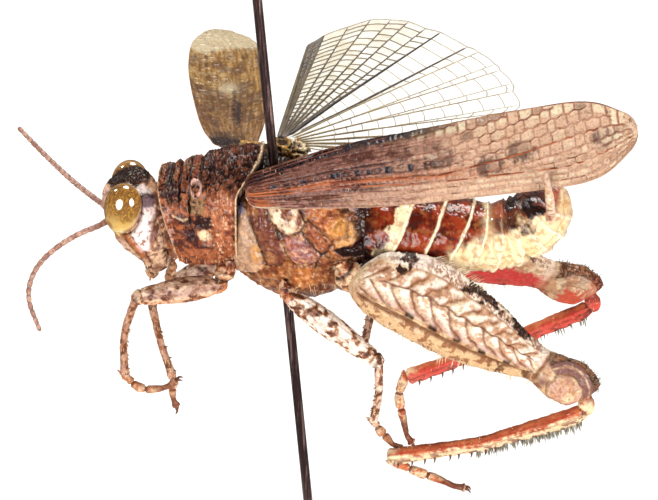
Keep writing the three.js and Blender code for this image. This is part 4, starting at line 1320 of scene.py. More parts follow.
# %% Feet and claws
def foot_piece(name, ankle, finish, slot, marks):
    """Three joints with pads, then two claws with a small pad between them."""
    node = f"{name}_foot"
    line = track(node, ankle, count=16, back=0.3)
    skin = wrap(node, line, up=(0, 1, 0), rings=150, sides=32, caps=(0.15, 0.15), tube=True)
    skin.uneven = rough(skin.at, 0.3)
    joints = (0.3, 0.52)
    skin.lift(-0.03)
    for joint in joints:
        skin.lift(0.04 * bell(skin.u - joint + 0.06, 0.04))
    jointed(skin, joints, 0.1, 0.06)
    skin.lift(-0.06 * within(skin.u, 0.55, 0.7, 0.9, 0.97) + 0.02 * skin.uneven)
    marks(skin)
    keep(f"{name}_tarsus", skin, finish, slot, node)
    onward = unit(line[-1] - line[-12])
    sideways = unit(np.cross(onward, (0.2, 0.1, 1) if abs(onward[2]) < 0.9 else (1, 0, 0)))
    drop = unit(np.cross(sideways, onward))
    drop = drop * (-1 if drop[2] > 0 else 1)
    hooks = Tubes()
    for side in (-1, 1):
        root = line[-1] - onward * 0.25
        bend = root + onward * 0.42 + sideways * side * 0.22
        hooks.add(smooth_line([root, bend, bend + onward * 0.12 + drop * 0.2], 7, 0.1),
                  (0.1, 0.1, 0.09, 0.08, 0.06, 0.04, 0), sides=6)
    hooks.add([line[-1] - onward * 0.2, line[-1], line[-1] + onward * 0.1], (0.1, 0.12, 0), sides=7)
    finished(f"{name}_claws", hooks.mesh(**{**PALE_MARKS, "brown": 1, "dark": 0.4}), pale, slot)


def pale_foot(skin):
    """The marks of a walking leg's foot."""
    plain_marks(skin, brown=0.6 * step(skin.uneven, 0, 0.3), orange=0.3,
                white=0.4 * fade(skin.uneven, -0.4, -0.1))


# %% The four walking legs
BREAST = (-3.5, 0, 1)  # the place in the thorax that the walking legs start from
PALLOR = {"fore_left": 0.15, "fore_right": 0.2, "middle_left": 0.85, "middle_right": 0.5}
for name, pallor in PALLOR.items():
    coxa_piece(name, BREAST)
    knee = femur_piece(name, BREAST, pallor)
    foot_piece(name, tibia_piece(name, knee, pallor), pale, "pale_limb", pale_foot)

# %% [markdown]
# The thigh of a jumping leg is a deep flat club. Its outer face is a herringbone of raised scales
# between two keels, with a narrow flange under the lower keel. The knee ends in a dark crescent and a
# pale lobe. Each point's share of the way up the face decides all of it: g is 0 at the lower edge and 1
# at the upper edge.

# %% Jumping thighs' finish
SCALES = 11  # rows of the herringbone
KNEE = {"u": 0.886, "drop": 1.0, "lobe": 0.86, "crest": 1.5}
thigh_finish = shell(
    "herringbone_thigh", 0xD2B692, 0xB68A66, 0x6A422A,
    marks=[("white", 0xEADCCC), ("orange", 0xC8A278), ("pinkish", 0xAC7A68), ("brown", 0x80492A),
           ("mauve", 0x6E4A46),
           ("red", 0xB43230), ("coral", 0xB04430), ("dark", 0x1C0E0A)],
    gloss=0.28, coat=0.7, grit=0.02, speck=0.35, wear_and_highlight=0.15, dirt_and_shade_tints=[("white", 0xA06C54)],
)


print("rows of scales:", SCALES)

# %% [markdown]
# First each point learns where it is on the thigh, and that stays with the skin: u along it, g up its
# face, the knee's own two directions, and whether it is on the outer or the inner face.

# %% Places on a jumping thigh
def thigh_skin(name, hip, knee, lean, outer):
    """A skin round a jumping leg's femur, whose points know their place on it."""
    line = smooth_line([hip, knee])
    skin = wrap(f"{name}_femur", line, up=lean, rings=320, sides=270, caps=(0.5, 0.5), soft=(0.028, 0.015),
                ease=0.2)
    u = skin.run / skin.length
    columns = len(np.unique(skin.u))
    grid = skin.radius.reshape(-1, columns)
    sides = len(grid) - 1
    above, below = (np.tile(grid[i], sides + 1) for i in (0, sides // 2))
    height = skin.radius * np.cos(skin.turn)
    skin.along, skin.g = u, (height + below) / np.maximum(above + below, 0.05)
    skin.uneven = rough(skin.at, 0.5)
    skin.tiny = rough(skin.at, 0.14, shift=3)
    skin.patch = rough(skin.at * (1, 1, 1.3), 0.45, shift=11)
    skin.outside = step(np.sin(skin.turn) * outer, 0.05, 0.3)
    skin.inside = fade(np.sin(skin.turn) * outer, -0.3, -0.05)
    skin.face = np.maximum(skin.outside, 0.35 * skin.inside)
    skin.shaft = within(u, 0.02, 0.06, 0.72, 0.78)
    skin.kx, skin.kz = (u - KNEE["u"]) * skin.length, height + KNEE["drop"]
    skin.ring = np.hypot(skin.kx, skin.kz) + 0.06 * skin.uneven
    return skin, unit(line[-1] - line[0])


# %% [markdown]
# The face is then raised zone by zone: curved rows of scales above and below the middle line, each row
# stepping down to the next, two keels, and the knee's round lobe under its crescent.

# %% Zones of a jumping thigh
def thigh_zones(skin):
    """Raises the scales, the keels and the knee, and returns the masks of these zones by name."""
    u, g, face, shaft, patch, fine_uneven = skin.along, skin.g, skin.face, skin.shaft, skin.patch, skin.tiny
    beat_run = SCALES * (1 - (1 - np.clip(u / 0.76, 0, 1)) ** 0.85) ** 0.95
    middle_line = 0.56 + 0.02 * np.sin(2 * np.pi * (beat_run + 0.2)) * step(u, 0.15, 0.3)
    over = g > middle_line
    q = np.where(over, (g - middle_line) / 0.24, (middle_line - g) / 0.29)
    phase = beat_run - np.where(over, 0.95 * q**0.8 - 0.4, 1.1 * q**1.5) + 0.05 * skin.uneven
    beat = phase % 1
    groove = bell(np.minimum(beat, 1 - beat), 0.1
                  + 0.03 * fine_uneven) * (0.75 + 0.25 * step(patch, -0.4, 0.1))
    inside = within(g, 0.265, 0.285, 0.79, 0.82) * shaft * face
    middle = bell(g - middle_line, 0.014) * shaft * face * step(u, 0.06, 0.15)
    low_keel = bell(g - 0.25, 0.018) * shaft * face
    high_keel = bell(g - 0.81, 0.016) * shaft * face * step(u, 0.2, 0.3)
    skin.lift(inside * (0.1 * (beat - 0.4) * (1 - groove) - 0.05 * groove - 0.05 * middle)
              + 0.1 * low_keel + 0.07 * high_keel)
    skin.lift(face * shaft * (-0.1 * bell(g - 0.19, 0.03)) + 0.06 * bell(g - 1.0, 0.02) * shaft)
    flange = fade(g, 0.21, 0.23) * within(u, 0.03, 0.06, 0.8, 0.86)
    upper = step(g, 0.82, 0.85) * within(u, 0.08, 0.14, 0.74, 0.8)
    skin.lift(0.035 * skin.uneven + 0.012 * fine_uneven + 0.06 * upper * fine_uneven)
    kx, kz, ring = skin.kx, skin.kz, skin.ring
    above_lobe = step(kz + 0.7 * kx, 0.0, 0.3)
    knee_zone = step(u - 0.03 * (g - 0.5), 0.77, 0.8)
    lobe = step(-ring, -KNEE["lobe"] - 0.1, -KNEE["lobe"] + 0.1) * knee_zone
    crescent = within(ring, 0.93, 0.99, 1.48, 1.56) * above_lobe * knee_zone
    crest = step(ring, 1.5, 1.56) * above_lobe * knee_zone * step(kz, 0.2, 0.4)
    knee_edge = u - 0.775 - 0.03 * (g - 0.5)
    crest_rim = bell(ring - 1.53, 0.04) * above_lobe * knee_zone
    skin.lift(face * (0.14 * lobe * np.sqrt(shown(1 - (ring / 0.9) ** 2)) + 0.08 * crescent
                      + 0.05 * crest * fine_uneven))
    skin.lift(face * (-0.06 * bell(ring - 0.9, 0.04) * knee_zone - 0.07 * crest_rim
                      + 0.05 * bell(ring - 1.27, 0.05) * crescent - 0.08 * bell(knee_edge, 0.008)))
    upper_rows = inside * step(q - 0.3 * patch, 0.55, 0.95) * ~over
    return {
        "scales": inside, "beat": beat, "groove": groove, "middle": middle, "pink_rows": upper_rows,
        "low_keel": low_keel, "high_keel": high_keel, "flange": flange, "upper": upper, "knee": knee_zone,
        "knee_edge": knee_edge, "above_lobe": above_lobe, "lobe": lobe, "crescent": crescent,
        "crest": crest,
        "crest_rim": crest_rim,
    }


# %% [markdown]
# The marks follow the zones. The far thigh shows its inner face, which is red below and coral at the
# knee.

# %% Marks of a jumping thigh
BLOTCHES = ((0.17, 0.035, 0.78), (0.43, 0.05, 0.83), (0.49, 0.05, 0.86), (0.57, 0.03, 0.9),
            (0.65, 0.05, 0.82))


def thigh_marks(skin, zone, far):
    """Marks a thigh. far is 1 on the leg that shows its inner face and 0 on the other."""
    u, g, shaft, patch, fine_uneven = skin.along, skin.g, skin.shaft, skin.patch, skin.tiny
    kx, kz, ring, knee = skin.kx, skin.kz, skin.ring, zone["knee"]
    inside, lobe, crest, flange = zone["scales"], zone["lobe"], zone["crest"], zone["flange"]
    notch = bell(np.hypot(kx + 1.2, kz - 0.05), 0.3)
    spots = step(np.cos(2 * np.pi * (u * 10 - 2.5)) + 0.4 * skin.uneven, 0.45, 0.7)
    spots = spots * bell(g - 0.26, 0.032) * step(u, 0.18, 0.22)
    blotches = most(*(bell((u - at) / wide, 1) * step(g + 0.1 * patch, low, low + 0.05)
                      for at, wide, low in BLOTCHES))
    net_spots = zone["upper"] * step(fine_uneven, 0.0, 0.2) * step(u, 0.2, 0.3) * 0.9
    mottles = step(patch + 0.3 * fine_uneven, 0.25, 0.45)
    far_inside = far * skin.inside
    skin.marks.update(
        white=shown(0.95 * zone["upper"] * (1 - net_spots)
                    + 0.9 * inside * fade(patch, -0.1, 0.3) * step(zone["beat"], 0.15, 0.5)
                    + bell(g - 1, 0.05) * fade(u, 0.4, 0.5) + 0.35 * lobe * step(patch, -0.2, 0.2)
                    + 0.7 * bell(u - 0.76, 0.025) * step(g, 0.45, 0.55)) * (1 - 0.5 * far),
        orange=shown(0.95 * flange + 0.6 * zone["low_keel"] + 0.5 * knee * (1 - lobe)
                     * fade(kz, -0.2, 0.4)),
        pinkish=shown(0.7 * zone["pink_rows"] + 0.5 * inside * step(patch, 0.2, 0.4)
                      + 0.75 * lobe * step(patch, -0.4, 0.1)),
        brown=shown(most(
            inside * np.maximum(0.95 * zone["groove"], 0.9 * zone["middle"]), 0.85 * net_spots,
            0.85 * flange * step(patch + 0.3 * fine_uneven, 0.1, 0.3),
            0.75 * zone["low_keel"] * step(patch, -0.3, 0.2), 0.6 * zone["high_keel"],
            0.65 * mottles * (1 - inside) * shaft, 0.5 * lobe * step(fine_uneven, 0.05, 0.3), 0.9 * crest,
            0.5 * bell(zone["knee_edge"], 0.01), 0.8 * bell(ring - 0.92, 0.05) * knee * zone["above_lobe"],
            0.6 * knee * (1 - lobe) * mottles)),
        mauve=shown(zone["crescent"] * (1 - 0.7 * bell(ring - 1.27, 0.05)) + 0.9 * notch) * (1 - 0.6 * far),
        red=far_inside * step(-g - 0.1 * patch, -0.62, -0.5) * within(u, 0.12, 0.25, 0.72, 0.8),
        coral=far_inside * knee * np.maximum(step(0.75 - ring + 0.3 * patch, 0, 0.3),
                                             0.5 * step(kx, 0.4, 0.9)),
        dark=shown(most(
            step(blotches + 0.4 * patch, 0.5, 0.7) * shaft, 0.95 * spots * shaft * skin.outside,
            0.85 * crest * step(patch + fine_uneven, -0.3, 0.2), 0.6 * zone["crest_rim"],
            0.7 * flange * np.maximum(bell(u - 0.62, 0.03), bell(u - 0.72, 0.025))
            * step(patch, -0.2, 0.1))),
    )


# %% The two jumping thighs
def thigh_piece(name, hip, knee, lean, outer):
    skin, along = thigh_skin(name, hip, knee, lean, outer)
    zone = thigh_zones(skin)
    thigh_marks(skin, zone, far=float(outer < 0))
    keep(f"{name}_thigh", skin, thigh_finish, "pale_limb", f"{name}_femur")
    u, g = skin.along, skin.g
    comb = bell(g - 1, 0.04) * within(u, 0.22, 0.28, 0.45, 0.5)
    hairs(f"{name}_comb", skin, comb, 60, 0.55, 0.9 * along, "pale_limb", girth=0.018, spread=0.12)
    fringe = bell(g, 0.05) * within(u, 0.1, 0.2, 0.7, 0.8)
    hairs(f"{name}_fringe", skin, fringe, 90, 0.6, 0.3 * along, "pale_limb", girth=0.018, spread=0.2)
    crest = (zone["crest"] + 0.1 * (u > 0.8)) * skin.outside
    hairs(f"{name}_crest", skin, crest, 80, 0.25, 0.3 * along, "pale_limb", girth=0.022, dark=0.8)


THIGHS = {
    "hind_left": {"hip": (1.2, -2.9, -0.25), "knee": (13.7, -4.3, -4.95), "lean": (0, 0.42, 0.9),
                  "outer": 1},
    "hind_right": {"hip": (1.2, 2.9, 0.1), "knee": (13.75, 5.9, -4.3), "lean": (0, -0.2, 0.98),
                   "outer": -1},
}
for name, thigh in THIGHS.items():
    thigh_piece(name, **thigh)
    coxa_piece(name, (0, 0, 0.5))

# %% [markdown]
# The shins of the jumping legs are red, with a cream underside and two rows of black-tipped spines.

# %% Jumping shins' finish
red_finish = shell(
    "red_shin", 0xBC6844, 0xA04C30, 0x5C2416,
    marks=[("yellow", 0xE0C49C), ("scarlet", 0xA83420), ("rose", 0xC04038), ("brown", 0x6A3428),
           ("olive", 0x4A4A40),
           ("black", 0x201614)],
    gloss=0.24, coat=0.7, grit=0.015, speck=0.35,
)
SHINS = {
    "hind_left": [(13.0, -4.3, -5.3), (13.1, -4.3, -6.3), (12, -4.3, -6.85), (8, -4.3, -8.35),
                  (3.2, -4.3, -9.3)],
    "hind_right": [(13.2, 5.9, -4.6), (13.3, 5.9, -5.5), (12.3, 5.85, -6), (8, 5.4, -7.9), (3.7, 5, -9.5)],
}


RED_MARKS = {"scarlet": 0, "rose": 0, "olive": 0}


def red_foot(skin):
    """The marks of a jumping leg's foot."""
    patch = rough(skin.at, 0.5, shift=6)
    skin.marks.update(RED_MARKS, yellow=0.85 * step(patch, -0.45, 0.1), brown=0.5 * step(patch, 0.2, 0.4),
                      black=0)


print("jumping shins end at", [points[-1] for points in SHINS.values()])

# %% Jumping shins and feet
for name, points in SHINS.items():
    node = f"{name}_tibia"
    line = smooth_line(points, spread=0.02)
    skin = wrap(node, line, up=(0, 1, 0), rings=300, sides=64, caps=(0.25, 0.25), tube=True,
                soft=(0.1, 0.02), ease=0.1)
    u = skin.run / skin.length
    drop = unit(np.cross(unit(line[-1] - line[20]), (0, 1, 0)))
    drop = drop * (-1 if drop[2] > 0 else 1)
    low = skin.out @ drop
    skin.uneven = rough(skin.at, 0.5)
    patch = rough(skin.at * (0.6, 1, 1), 0.5, shift=13)
    skin.lift(0.03 * skin.uneven - 0.05 * bell(low - 0.1, 0.15) + 0.03 * bell(low + 0.4, 0.1))
    skin.lift(0.05 * bell(np.abs(skin.out[:, 1]) - 0.45, 0.12) * (low > 0.3) * (1 + 0.5 * np.sin(u * 90)))
    skin.lift(-0.08 * bell(u - 0.1, 0.012) + 0.06 * bell(u - 0.06, 0.025))
    far = name.endswith("right")
    tiny = rough(skin.at, 0.2, shift=5)
    skin.marks.update(
        yellow=shown(step(low + 0.5 * patch + 0.3 * tiny, -0.4, 0.15) * 0.9 * (1 - 0.7 * far)
                     + step(u, 0.93, 0.98) * 0.8 + 0.7 * bell(u - 0.07, 0.03) * (patch > 0)
                     + 0.5 * bell(low + 0.2, 0.1) * step(tiny, 0.1, 0.3)),
        scarlet=0.8 * bell(low + 0.6, 0.14) * step(u, 0.08, 0.12) * step(patch, -0.4, 0.2),
        rose=0.9 * far * step(low + 0.3 * patch, -0.8, -0.2),
        brown=np.maximum(0.8 * step(patch + 0.4 * tiny, 0.15, 0.4) * step(low, 0.0, 0.4),
                         0.5 * bell(u - 0.03, 0.02)),
        olive=0,
        black=0.8 * step(low, 0.6, 0.8) * step(np.sin(u * 95), 0.6, 0.9),
    )
    keep(f"{name}_shin", skin, red_finish, "red_limb", node)
    spines = Tubes()
    spikes(spines, line, 9, 0.36, 0.38, drop, first=0.52, girth=0.075)
    spine_mesh = spines.mesh(**RED_MARKS, relief=0, yellow=0.4, brown=0.6, black=0.7)
    finished(f"{name}_spines", spine_mesh, red_finish, "red_limb")
    under = step(low, 0.75, 0.9) * within(u, 0.12, 0.14, 0.6, 0.62)
    hairs(f"{name}_bristles", skin, under, 60 if far else 240, 0.45, (-0.1, 0, -0.3), "red_limb",
          girth=0.045,
          spread=0.1, dark=0.75)
    all_round = step(u, 0.0, 0.02) * (u < 0.98)
    hairs(f"{name}_down", skin, all_round, 90, 0.28, (0, 0, -0.3), "red_limb", girth=0.014)
    foot_piece(name, line[-1], red_finish, "red_limb", red_foot)

# %% [markdown]
# A wing is two skins pressed flat with a net of hollow veins between them. Long veins run from the
# hinge towards the tip and branch, and short cross-veins divide the strips between them into cells.
# The net is made as thin tubes on the wing's middle surface, which is found by looking at the solid
# from both sides, so its curve is the solid's own. The sheet between the veins is a thin closed skin.

# %% Finding a wing's surface
AWAY = 6  # millimetres from a wing to where its rays start


class Wing:
    """The middle surface of a wing solid: u runs from the root to the tip, v from one edge to the other."""

    def __init__(self, node, root, tip, facing, columns=220, rows=60, tip_round=0.05):
        at, triangles = solid_mesh(node)
        tree = BVHTree.FromPolygons(at.tolist(), triangles.tolist())
        along = unit(np.subtract(tip, root))
        out = np.linalg.svd(at - at.mean(0), full_matrices=False)[2][2]
        out = unit(out * np.sign(out @ np.asarray(facing, float)))
        across = unit(np.cross(out, along))
        along = np.cross(across, out)
        rings = sections(at, triangles, along, 80)
        run = np.linspace((at @ along).min(), (at @ along).max(), 82)[1:-1]
        edges = np.array([((r @ across).min(), (r @ across).max()) for r in rings])
        edges = blurred(edges, 2.0)
        u = np.linspace(0, 1, columns + 1)
        station = run[0] + (run[-1] - run[0] + 0.1) * self.share(u)
        low, high = (np.interp(station, run, e) for e in edges.T)
        share = np.clip((1 - u) / tip_round, 0.01, 1)
        narrow = np.sqrt(share * (2 - share))
        share = np.clip(u / 0.02, 0, 1)
        narrow = narrow * (0.4 + 0.6 * np.sqrt(share * (2 - share)))
        middle = (low + high) / 2
        low, high = middle + (low - middle) * narrow, middle + (high - middle) * narrow
        v = np.linspace(0, 1, rows + 1)[:, None]
        flat = station * along[:, None, None] + (low + v * (high - low)) * across[:, None, None]
        flat = np.moveaxis(flat, 0, -1)
        level = at.mean(0) @ out
        height = np.full(flat.shape[:2], np.nan)
        inner = middle + (low + v * (high - low) - middle) * 0.97
        for j, i in np.ndindex(height.shape):
            place = station[min(max(i, 2), columns - 2)] * along + inner[j, i] * across
            hits = [tree.ray_cast(Vector(place + out * (level + s * AWAY)), Vector(-s * out), 2 * AWAY)[0]
                    for s in (1, -1)]
            if None not in hits:
                height[j, i] = (np.array(hits[0]) + np.array(hits[1])) @ out / 2
        usual = np.nanmean(height, axis=0)
        usual = np.interp(u, u[~np.isnan(usual)], usual[~np.isnan(usual)])
        height = np.where(np.isnan(height), usual, height)
        height = blurred(blurred(height, 3, 0), 7, 1)
        self.points = flat + height[:, :, None] * out
        self.columns, self.rows, self.out = columns, rows, out
        du, dv = np.gradient(self.points, axis=1), np.gradient(self.points, axis=0)
        normal = unit(np.cross(du, dv) + 1e-9 * out)
        self.normals = normal * np.sign(normal @ out)[:, :, None]

    def at(self, u, v, lift=0.0):
        """Points on the surface, lifted off it."""
        x = np.clip(u, 0, 1) * self.columns
        y = np.clip(v, 0, 1) * self.rows
        i, j = np.minimum(x.astype(int), self.columns - 1), np.minimum(y.astype(int), self.rows - 1)
        s, t = (x - i)[:, None], (y - j)[:, None]

        def between(field):
            near = field[j, i] * (1 - s) + field[j, i + 1] * s
            far = field[j + 1, i] * (1 - s) + field[j + 1, i + 1] * s
            return near * (1 - t) + far * t

        return between(self.points) + between(self.normals) * np.reshape(lift, (-1, 1))

    @staticmethod
    def share(u):
        """The share of the wing's length at a u, which is packed closer towards the tip."""
        return 1 - (1 - u) ** 1.25

    def along_share(self, s, v, lift=0.0):
        """Points at a share of the wing's length, instead of at a u."""
        return self.at(1 - (1 - np.asarray(s, float)) ** 0.8, v, lift)


def sheet_skin(wing, columns, rows):
    """A grid laid on a wing's middle surface."""
    bm, u, v = unit_grid(columns, rows)
    at = wing.at(u, v)
    out = wing.at(u, v, 1.0) - at
    return Skin(bm, at, out, u, v)


def keep_sheet(name, skin, thickness, finish, slot, *nodes):
    """Gives a sheet two faces and makes it a piece."""
    bm = skin.pour()
    bmesh.ops.recalc_face_normals(bm, faces=bm.faces)
    tree = BVHTree.FromBMesh(bm)
    bmesh.ops.solidify(bm, geom=bm.faces, thickness=thickness)
    for vertex in bm.verts:  # a sharp corner can shoot out a spike
        near, _, _, distance = tree.find_nearest(vertex.co)
        if distance > 1.5 * thickness:
            vertex.co = near
    finished(name, bm, finish, slot, *nodes, weld=1e-5)


print("u packs a wing's columns so that its middle is at", round(Wing.share(0.5), 2), "of its length")

# %% [markdown]
# The net is planned before it is drawn, because the sheet has to know its cells too. Each long vein is
# a row of heights along the wing. Neighbouring veins zigzag half a beat apart, and the cross-veins
# stand at the corners, which makes six-sided cells.

# %% The net of veins
class Net:
    """The cells of a wing: long veins, and cross-veins in the strips between them. A place is s, its
    share of the wing's length, and v, its share of the breadth."""

    def __init__(self, veins, length, breadth, cell, bend):
        self.length, self.breadth = length, breadth
        self.s = np.linspace(0, 1, 1000)
        self.spans = [(s[0], s[-1]) for s, _ in veins]
        rows = [blurred(np.interp(self.s, s, v), 10) for s, v in veins]
        for k in range(1, len(rows)):
            rows[k] = np.where(self.s < self.spans[k][0], rows[k - 1], rows[k])
        for k in range(len(rows) - 2, 0, -1):
            rows[k] = np.where(self.s > self.spans[k][1], rows[k + 1], rows[k])
        self.beat = np.cumsum(length / len(self.s) / cell(self.s))
        for k in range(2, len(rows) - 1):
            wave = 4 * np.abs((self.beat + k / 2) % 1 - 0.5) - 1
            room = np.minimum(rows[k] - rows[k - 1], rows[k + 1] - rows[k])
            rows[k] = rows[k] + wave * np.minimum(bend(self.s, k) / breadth, 0.4 * room)
        self.rows = np.clip(np.maximum.accumulate(rows, axis=0), 0, 1)
        self.crossings = []
        for k in range(len(rows) - 1):
            beats = np.arange(1, int(self.beat[-1]))
            beats = beats - (k / 2) % 1 + random.uniform(-0.26, 0.26, len(beats))
            places = np.interp(beats, self.beat, self.s)
            self.crossings.append(places[places < 0.975])

    def cells(self, s, v):
        """Each place's strip, a random tone for its cell, and how far it is from the nearest vein."""
        lines = np.array([np.interp(s, self.s, row) for row in self.rows])
        k = np.clip((lines <= v).sum(0) - 1, 0, len(lines) - 2)
        here = np.arange(len(s))
        across = np.minimum(v - lines[k, here], lines[k + 1, here] - v) * self.breadth
        order = np.zeros(len(s), int)
        along = np.zeros(len(s))
        for strip, crossings in enumerate(self.crossings):
            mine = k == strip
            order[mine] = np.searchsorted(crossings, s[mine])
            ends = np.r_[-9, crossings, 9]
            along[mine] = np.minimum(s[mine] - ends[order[mine]], ends[order[mine] + 1]
                                     - s[mine]) * self.length
        tone = scrambled(np.stack([k, order, 0 * k + 7], 1)) / 4095
        return k, tone, np.minimum(across, along)

    def draw(self, tubes, wing, width, stems, lift=0.035):
        """Lays a tube on the wing along each long vein and each cross-vein."""
        last = len(self.rows) - 1
        for k, (first, end) in enumerate(self.spans):
            s = self.s[(self.s >= first) & (self.s <= end)][::4]
            edge = k in (0, last)
            girth = 0.06 if edge else 0.065 if k in stems else 0.042
            radii = width * girth * (1 - 0.4 * s)
            radii[[0, -1]] = 0
            line = wing.along_share(s, np.interp(s, self.s, self.rows[k]), 0 if edge else lift)
            tubes.add(line, radii, sides=6, up=wing.out, stem=1.0 * (k in stems),
                      pale=0.5 * (k == 0) if stems else PALE_NET, far=step(s.mean(), 0.4, 0.6))
        for k, crossings in enumerate(self.crossings):
            for s in crossings:
                low, high = (np.interp(s, self.s, self.rows[i]) for i in (k, k + 1))
                if high - low > 0.02:
                    t = np.linspace(0, 1, 4)
                    bow = random.uniform(-0.1, 0.1) / self.length * np.sin(np.pi * t)
                    chance = 0.7 if k < 3 and s < 0.6 else 0.35 if 0.2 < low < 0.75 else 0.1
                    pale = 0.8 * float(random.random() < chance)
                    line = wing.along_share(s + bow, low + (high - low) * t, lift - 0.01)
                    tubes.add(line, width * (0.022 + 0.008 * step(s, 0.4, 0.6)), sides=4, up=wing.out,
                              stem=0.0, pale=pale if stems else PALE_NET, far=step(s, 0.4, 0.6))


PALE_NET = 0.75  # how pale the veins of a wing without copper stems are
print("veins carry the marks stem, pale and far")

# %% [markdown]
# The fore wings are leathery. Long veins run out from the hinge, thick and copper red along the stem in
# the middle, and branch up to the tip, where they zigzag round six-sided cells. The strip along the low
# edge is mauve, a row of black spots lies above the stem, and the tip clears to a tan net with brown
# clouds and cream cells at its edges. Each point of the sheet looks up its own cell and takes a tone
# from it. On the closed wing, a black band along the upper edge near the hinge is the painted shadow
# between the wing and the body.

# %% Fore wings' finish
leather = Finish("wing_leather", Coat_Weight=0.3, Coat_Roughness=0.12, IOR=1.15)
streak = leather.mark("streak")
fine = leather.noise(9, detail=4, rough=0.65)
tone = leather.mix(streak, 0x3E1C14, 0x8C6256)
tone = leather.mix(leather.mark("tan"), tone, leather.mix(streak, 0x9E7256, 0xC09A7E))
tone = leather.mix(leather.mark("copper"), tone, leather.mix(streak, 0x6A301C, 0xA4582E))
tone = leather.mix(leather.mark("ochre"), tone, leather.mix(streak, 0x86602E, 0xC0985C))
tone = leather.mix(leather.mark("vein"), tone, 0x7A4632)
tone = leather.mix(leather.mark("olive"), tone, 0x5C4630)
tone = leather.mix(leather.mark("cloud"), tone, 0x4A2A22)
tone = leather.mix(leather.mark("cream"), tone, 0xD2C4A4)
# The blackest mark holds black spots and streaks, and on the closed wing a painted shadow along the upper
# edge near the hinge.
tone = leather.mix(leather.mark("soot"), tone, 0x18141E)
tone = leather.mix(fine.span(0.48, 0.66) * 0.4, tone, 0x2A1612)
tone = leather.mix(leather.noise(14, detail=2).span(0.6, 0.75) * 0.3, tone, 0xD8B090)
leather_finish = leather.output(Base_Color=tone, Roughness=0.32 + 0.2 * fine,
                                Normal=leather.bump(leather.noise(12, detail=4), 0.02))

vein = Finish("wing_vein", Coat_Weight=0.3, Coat_Roughness=0.12, IOR=1.15)
vein_tone = vein.mix(vein.noise(1.5, detail=4).span(0.4, 0.6), 0x40201A, 0x74483A)
far_tone = vein.mix(vein.noise(1.2, detail=3).span(0.45, 0.6), 0x7A5038, 0x4E3024)
vein_tone = vein.mix(vein.mark("far"), vein_tone, far_tone)
stem_tone = vein.mix(vein.noise(0.8).span(0.4, 0.6), 0x9A5430, 0x6A301C)
vein_tone = vein.mix(vein.mark("stem"), vein_tone, stem_tone)
vein_tone = vein.mix(vein.mark("pale"), vein_tone, 0xC8A484)
vein_finish = vein.output(Base_Color=vein_tone, Roughness=0.32 + 0.2 * vein.noise(8))
print("nodes in the leather:", len(leather.tree.nodes))

# %% Fore wings' veins
TEGMEN_VEINS = [
    ((0, 1), (0.0, 0.0)),
    ((0.0, 0.5, 0.9, 0.985), (0.12, 0.08, 0.08, 0.12)),
    ((0.0, 0.25, 0.5, 0.8, 0.985), (0.25, 0.24, 0.17, 0.15, 0.22)),
    ((0.0, 0.25, 0.5, 0.8, 0.985), (0.33, 0.33, 0.25, 0.23, 0.33)),
    ((0.66, 0.82, 0.985), (0.24, 0.32, 0.44)),
    ((0.55, 0.7, 0.85, 0.985), (0.26, 0.33, 0.44, 0.56)),
    ((0.0, 0.25, 0.5, 0.7, 0.97), (0.40, 0.41, 0.34, 0.46, 0.7)),
    ((0.0, 0.25, 0.5, 0.7, 0.94), (0.47, 0.48, 0.43, 0.58, 0.84)),
    ((0.0, 0.25, 0.5, 0.7, 0.88), (0.55, 0.57, 0.54, 0.71, 0.93)),
    ((0.0, 0.25, 0.5, 0.66, 0.8), (0.63, 0.65, 0.66, 0.8, 0.97)),
    ((0.0, 0.25, 0.5, 0.68), (0.72, 0.74, 0.79, 0.95)),
    ((0.0, 0.25, 0.42, 0.55), (0.82, 0.84, 0.9, 0.97)),
    ((0.0, 0.2, 0.38), (0.92, 0.93, 0.97)),
    ((0, 1), (1.0, 1.0)),
]
SPOTTED_STRIP = 7  # the strip of black spots, counted from the low edge


def cell_length(s):
    """Cells are short near the hinge and longer towards the tip."""
    return 0.3 + 0.3 * step(s, 0.3, 0.6) - 0.1 * step(s, 0.86, 0.95)


def zigzag(s, k):
    """The upper veins bend from side to side along most of the wing, the lower ones at the tip."""
    return 0.05 * (step(s, 0.35, 0.6) if k > 6 else step(s, 0.75, 0.9))


def forewing(name, node, root, tip, facing, tone_marks, width, stems):
    """Makes a fore wing's sheet and veins. stems are the veins that are thick and copper red."""
    wing = Wing(node, root, tip, facing)
    length = np.linalg.norm(np.subtract(tip, root))
    net = Net(TEGMEN_VEINS, length, 3.7, cell_length, zigzag)
    skin = sheet_skin(wing, 420, 110)
    s = wing.share(skin.u)
    skin.uneven = rough(skin.at, 0.6)
    strip, cell, depth = net.cells(s, skin.v)
    skin.lift(0.03 * skin.uneven - 0.035 * step(depth, 0.0, 0.12))
    tone_marks(skin, s, strip, cell, step(depth, 0.03, 0.08), 1 - step(depth, 0.01, 0.04))
    keep_sheet(f"{name}_sheet", skin, 0.07, leather_finish, "forewing", node)
    tubes = Tubes()
    net.draw(tubes, wing, width, stems)
    print(len(tubes.shapes), "veins")
    finished(f"{name}_veins", tubes.mesh(), vein_finish, "forewing")


print("long veins in a fore wing:", len(TEGMEN_VEINS))

# %% The closed fore wing
CLOUDS = ((0.5, 0.56), (0.4, 0.72), (0.7, 0.5), (0.92, 0.5), (0.3, 0.75), (0.62, 0.36))


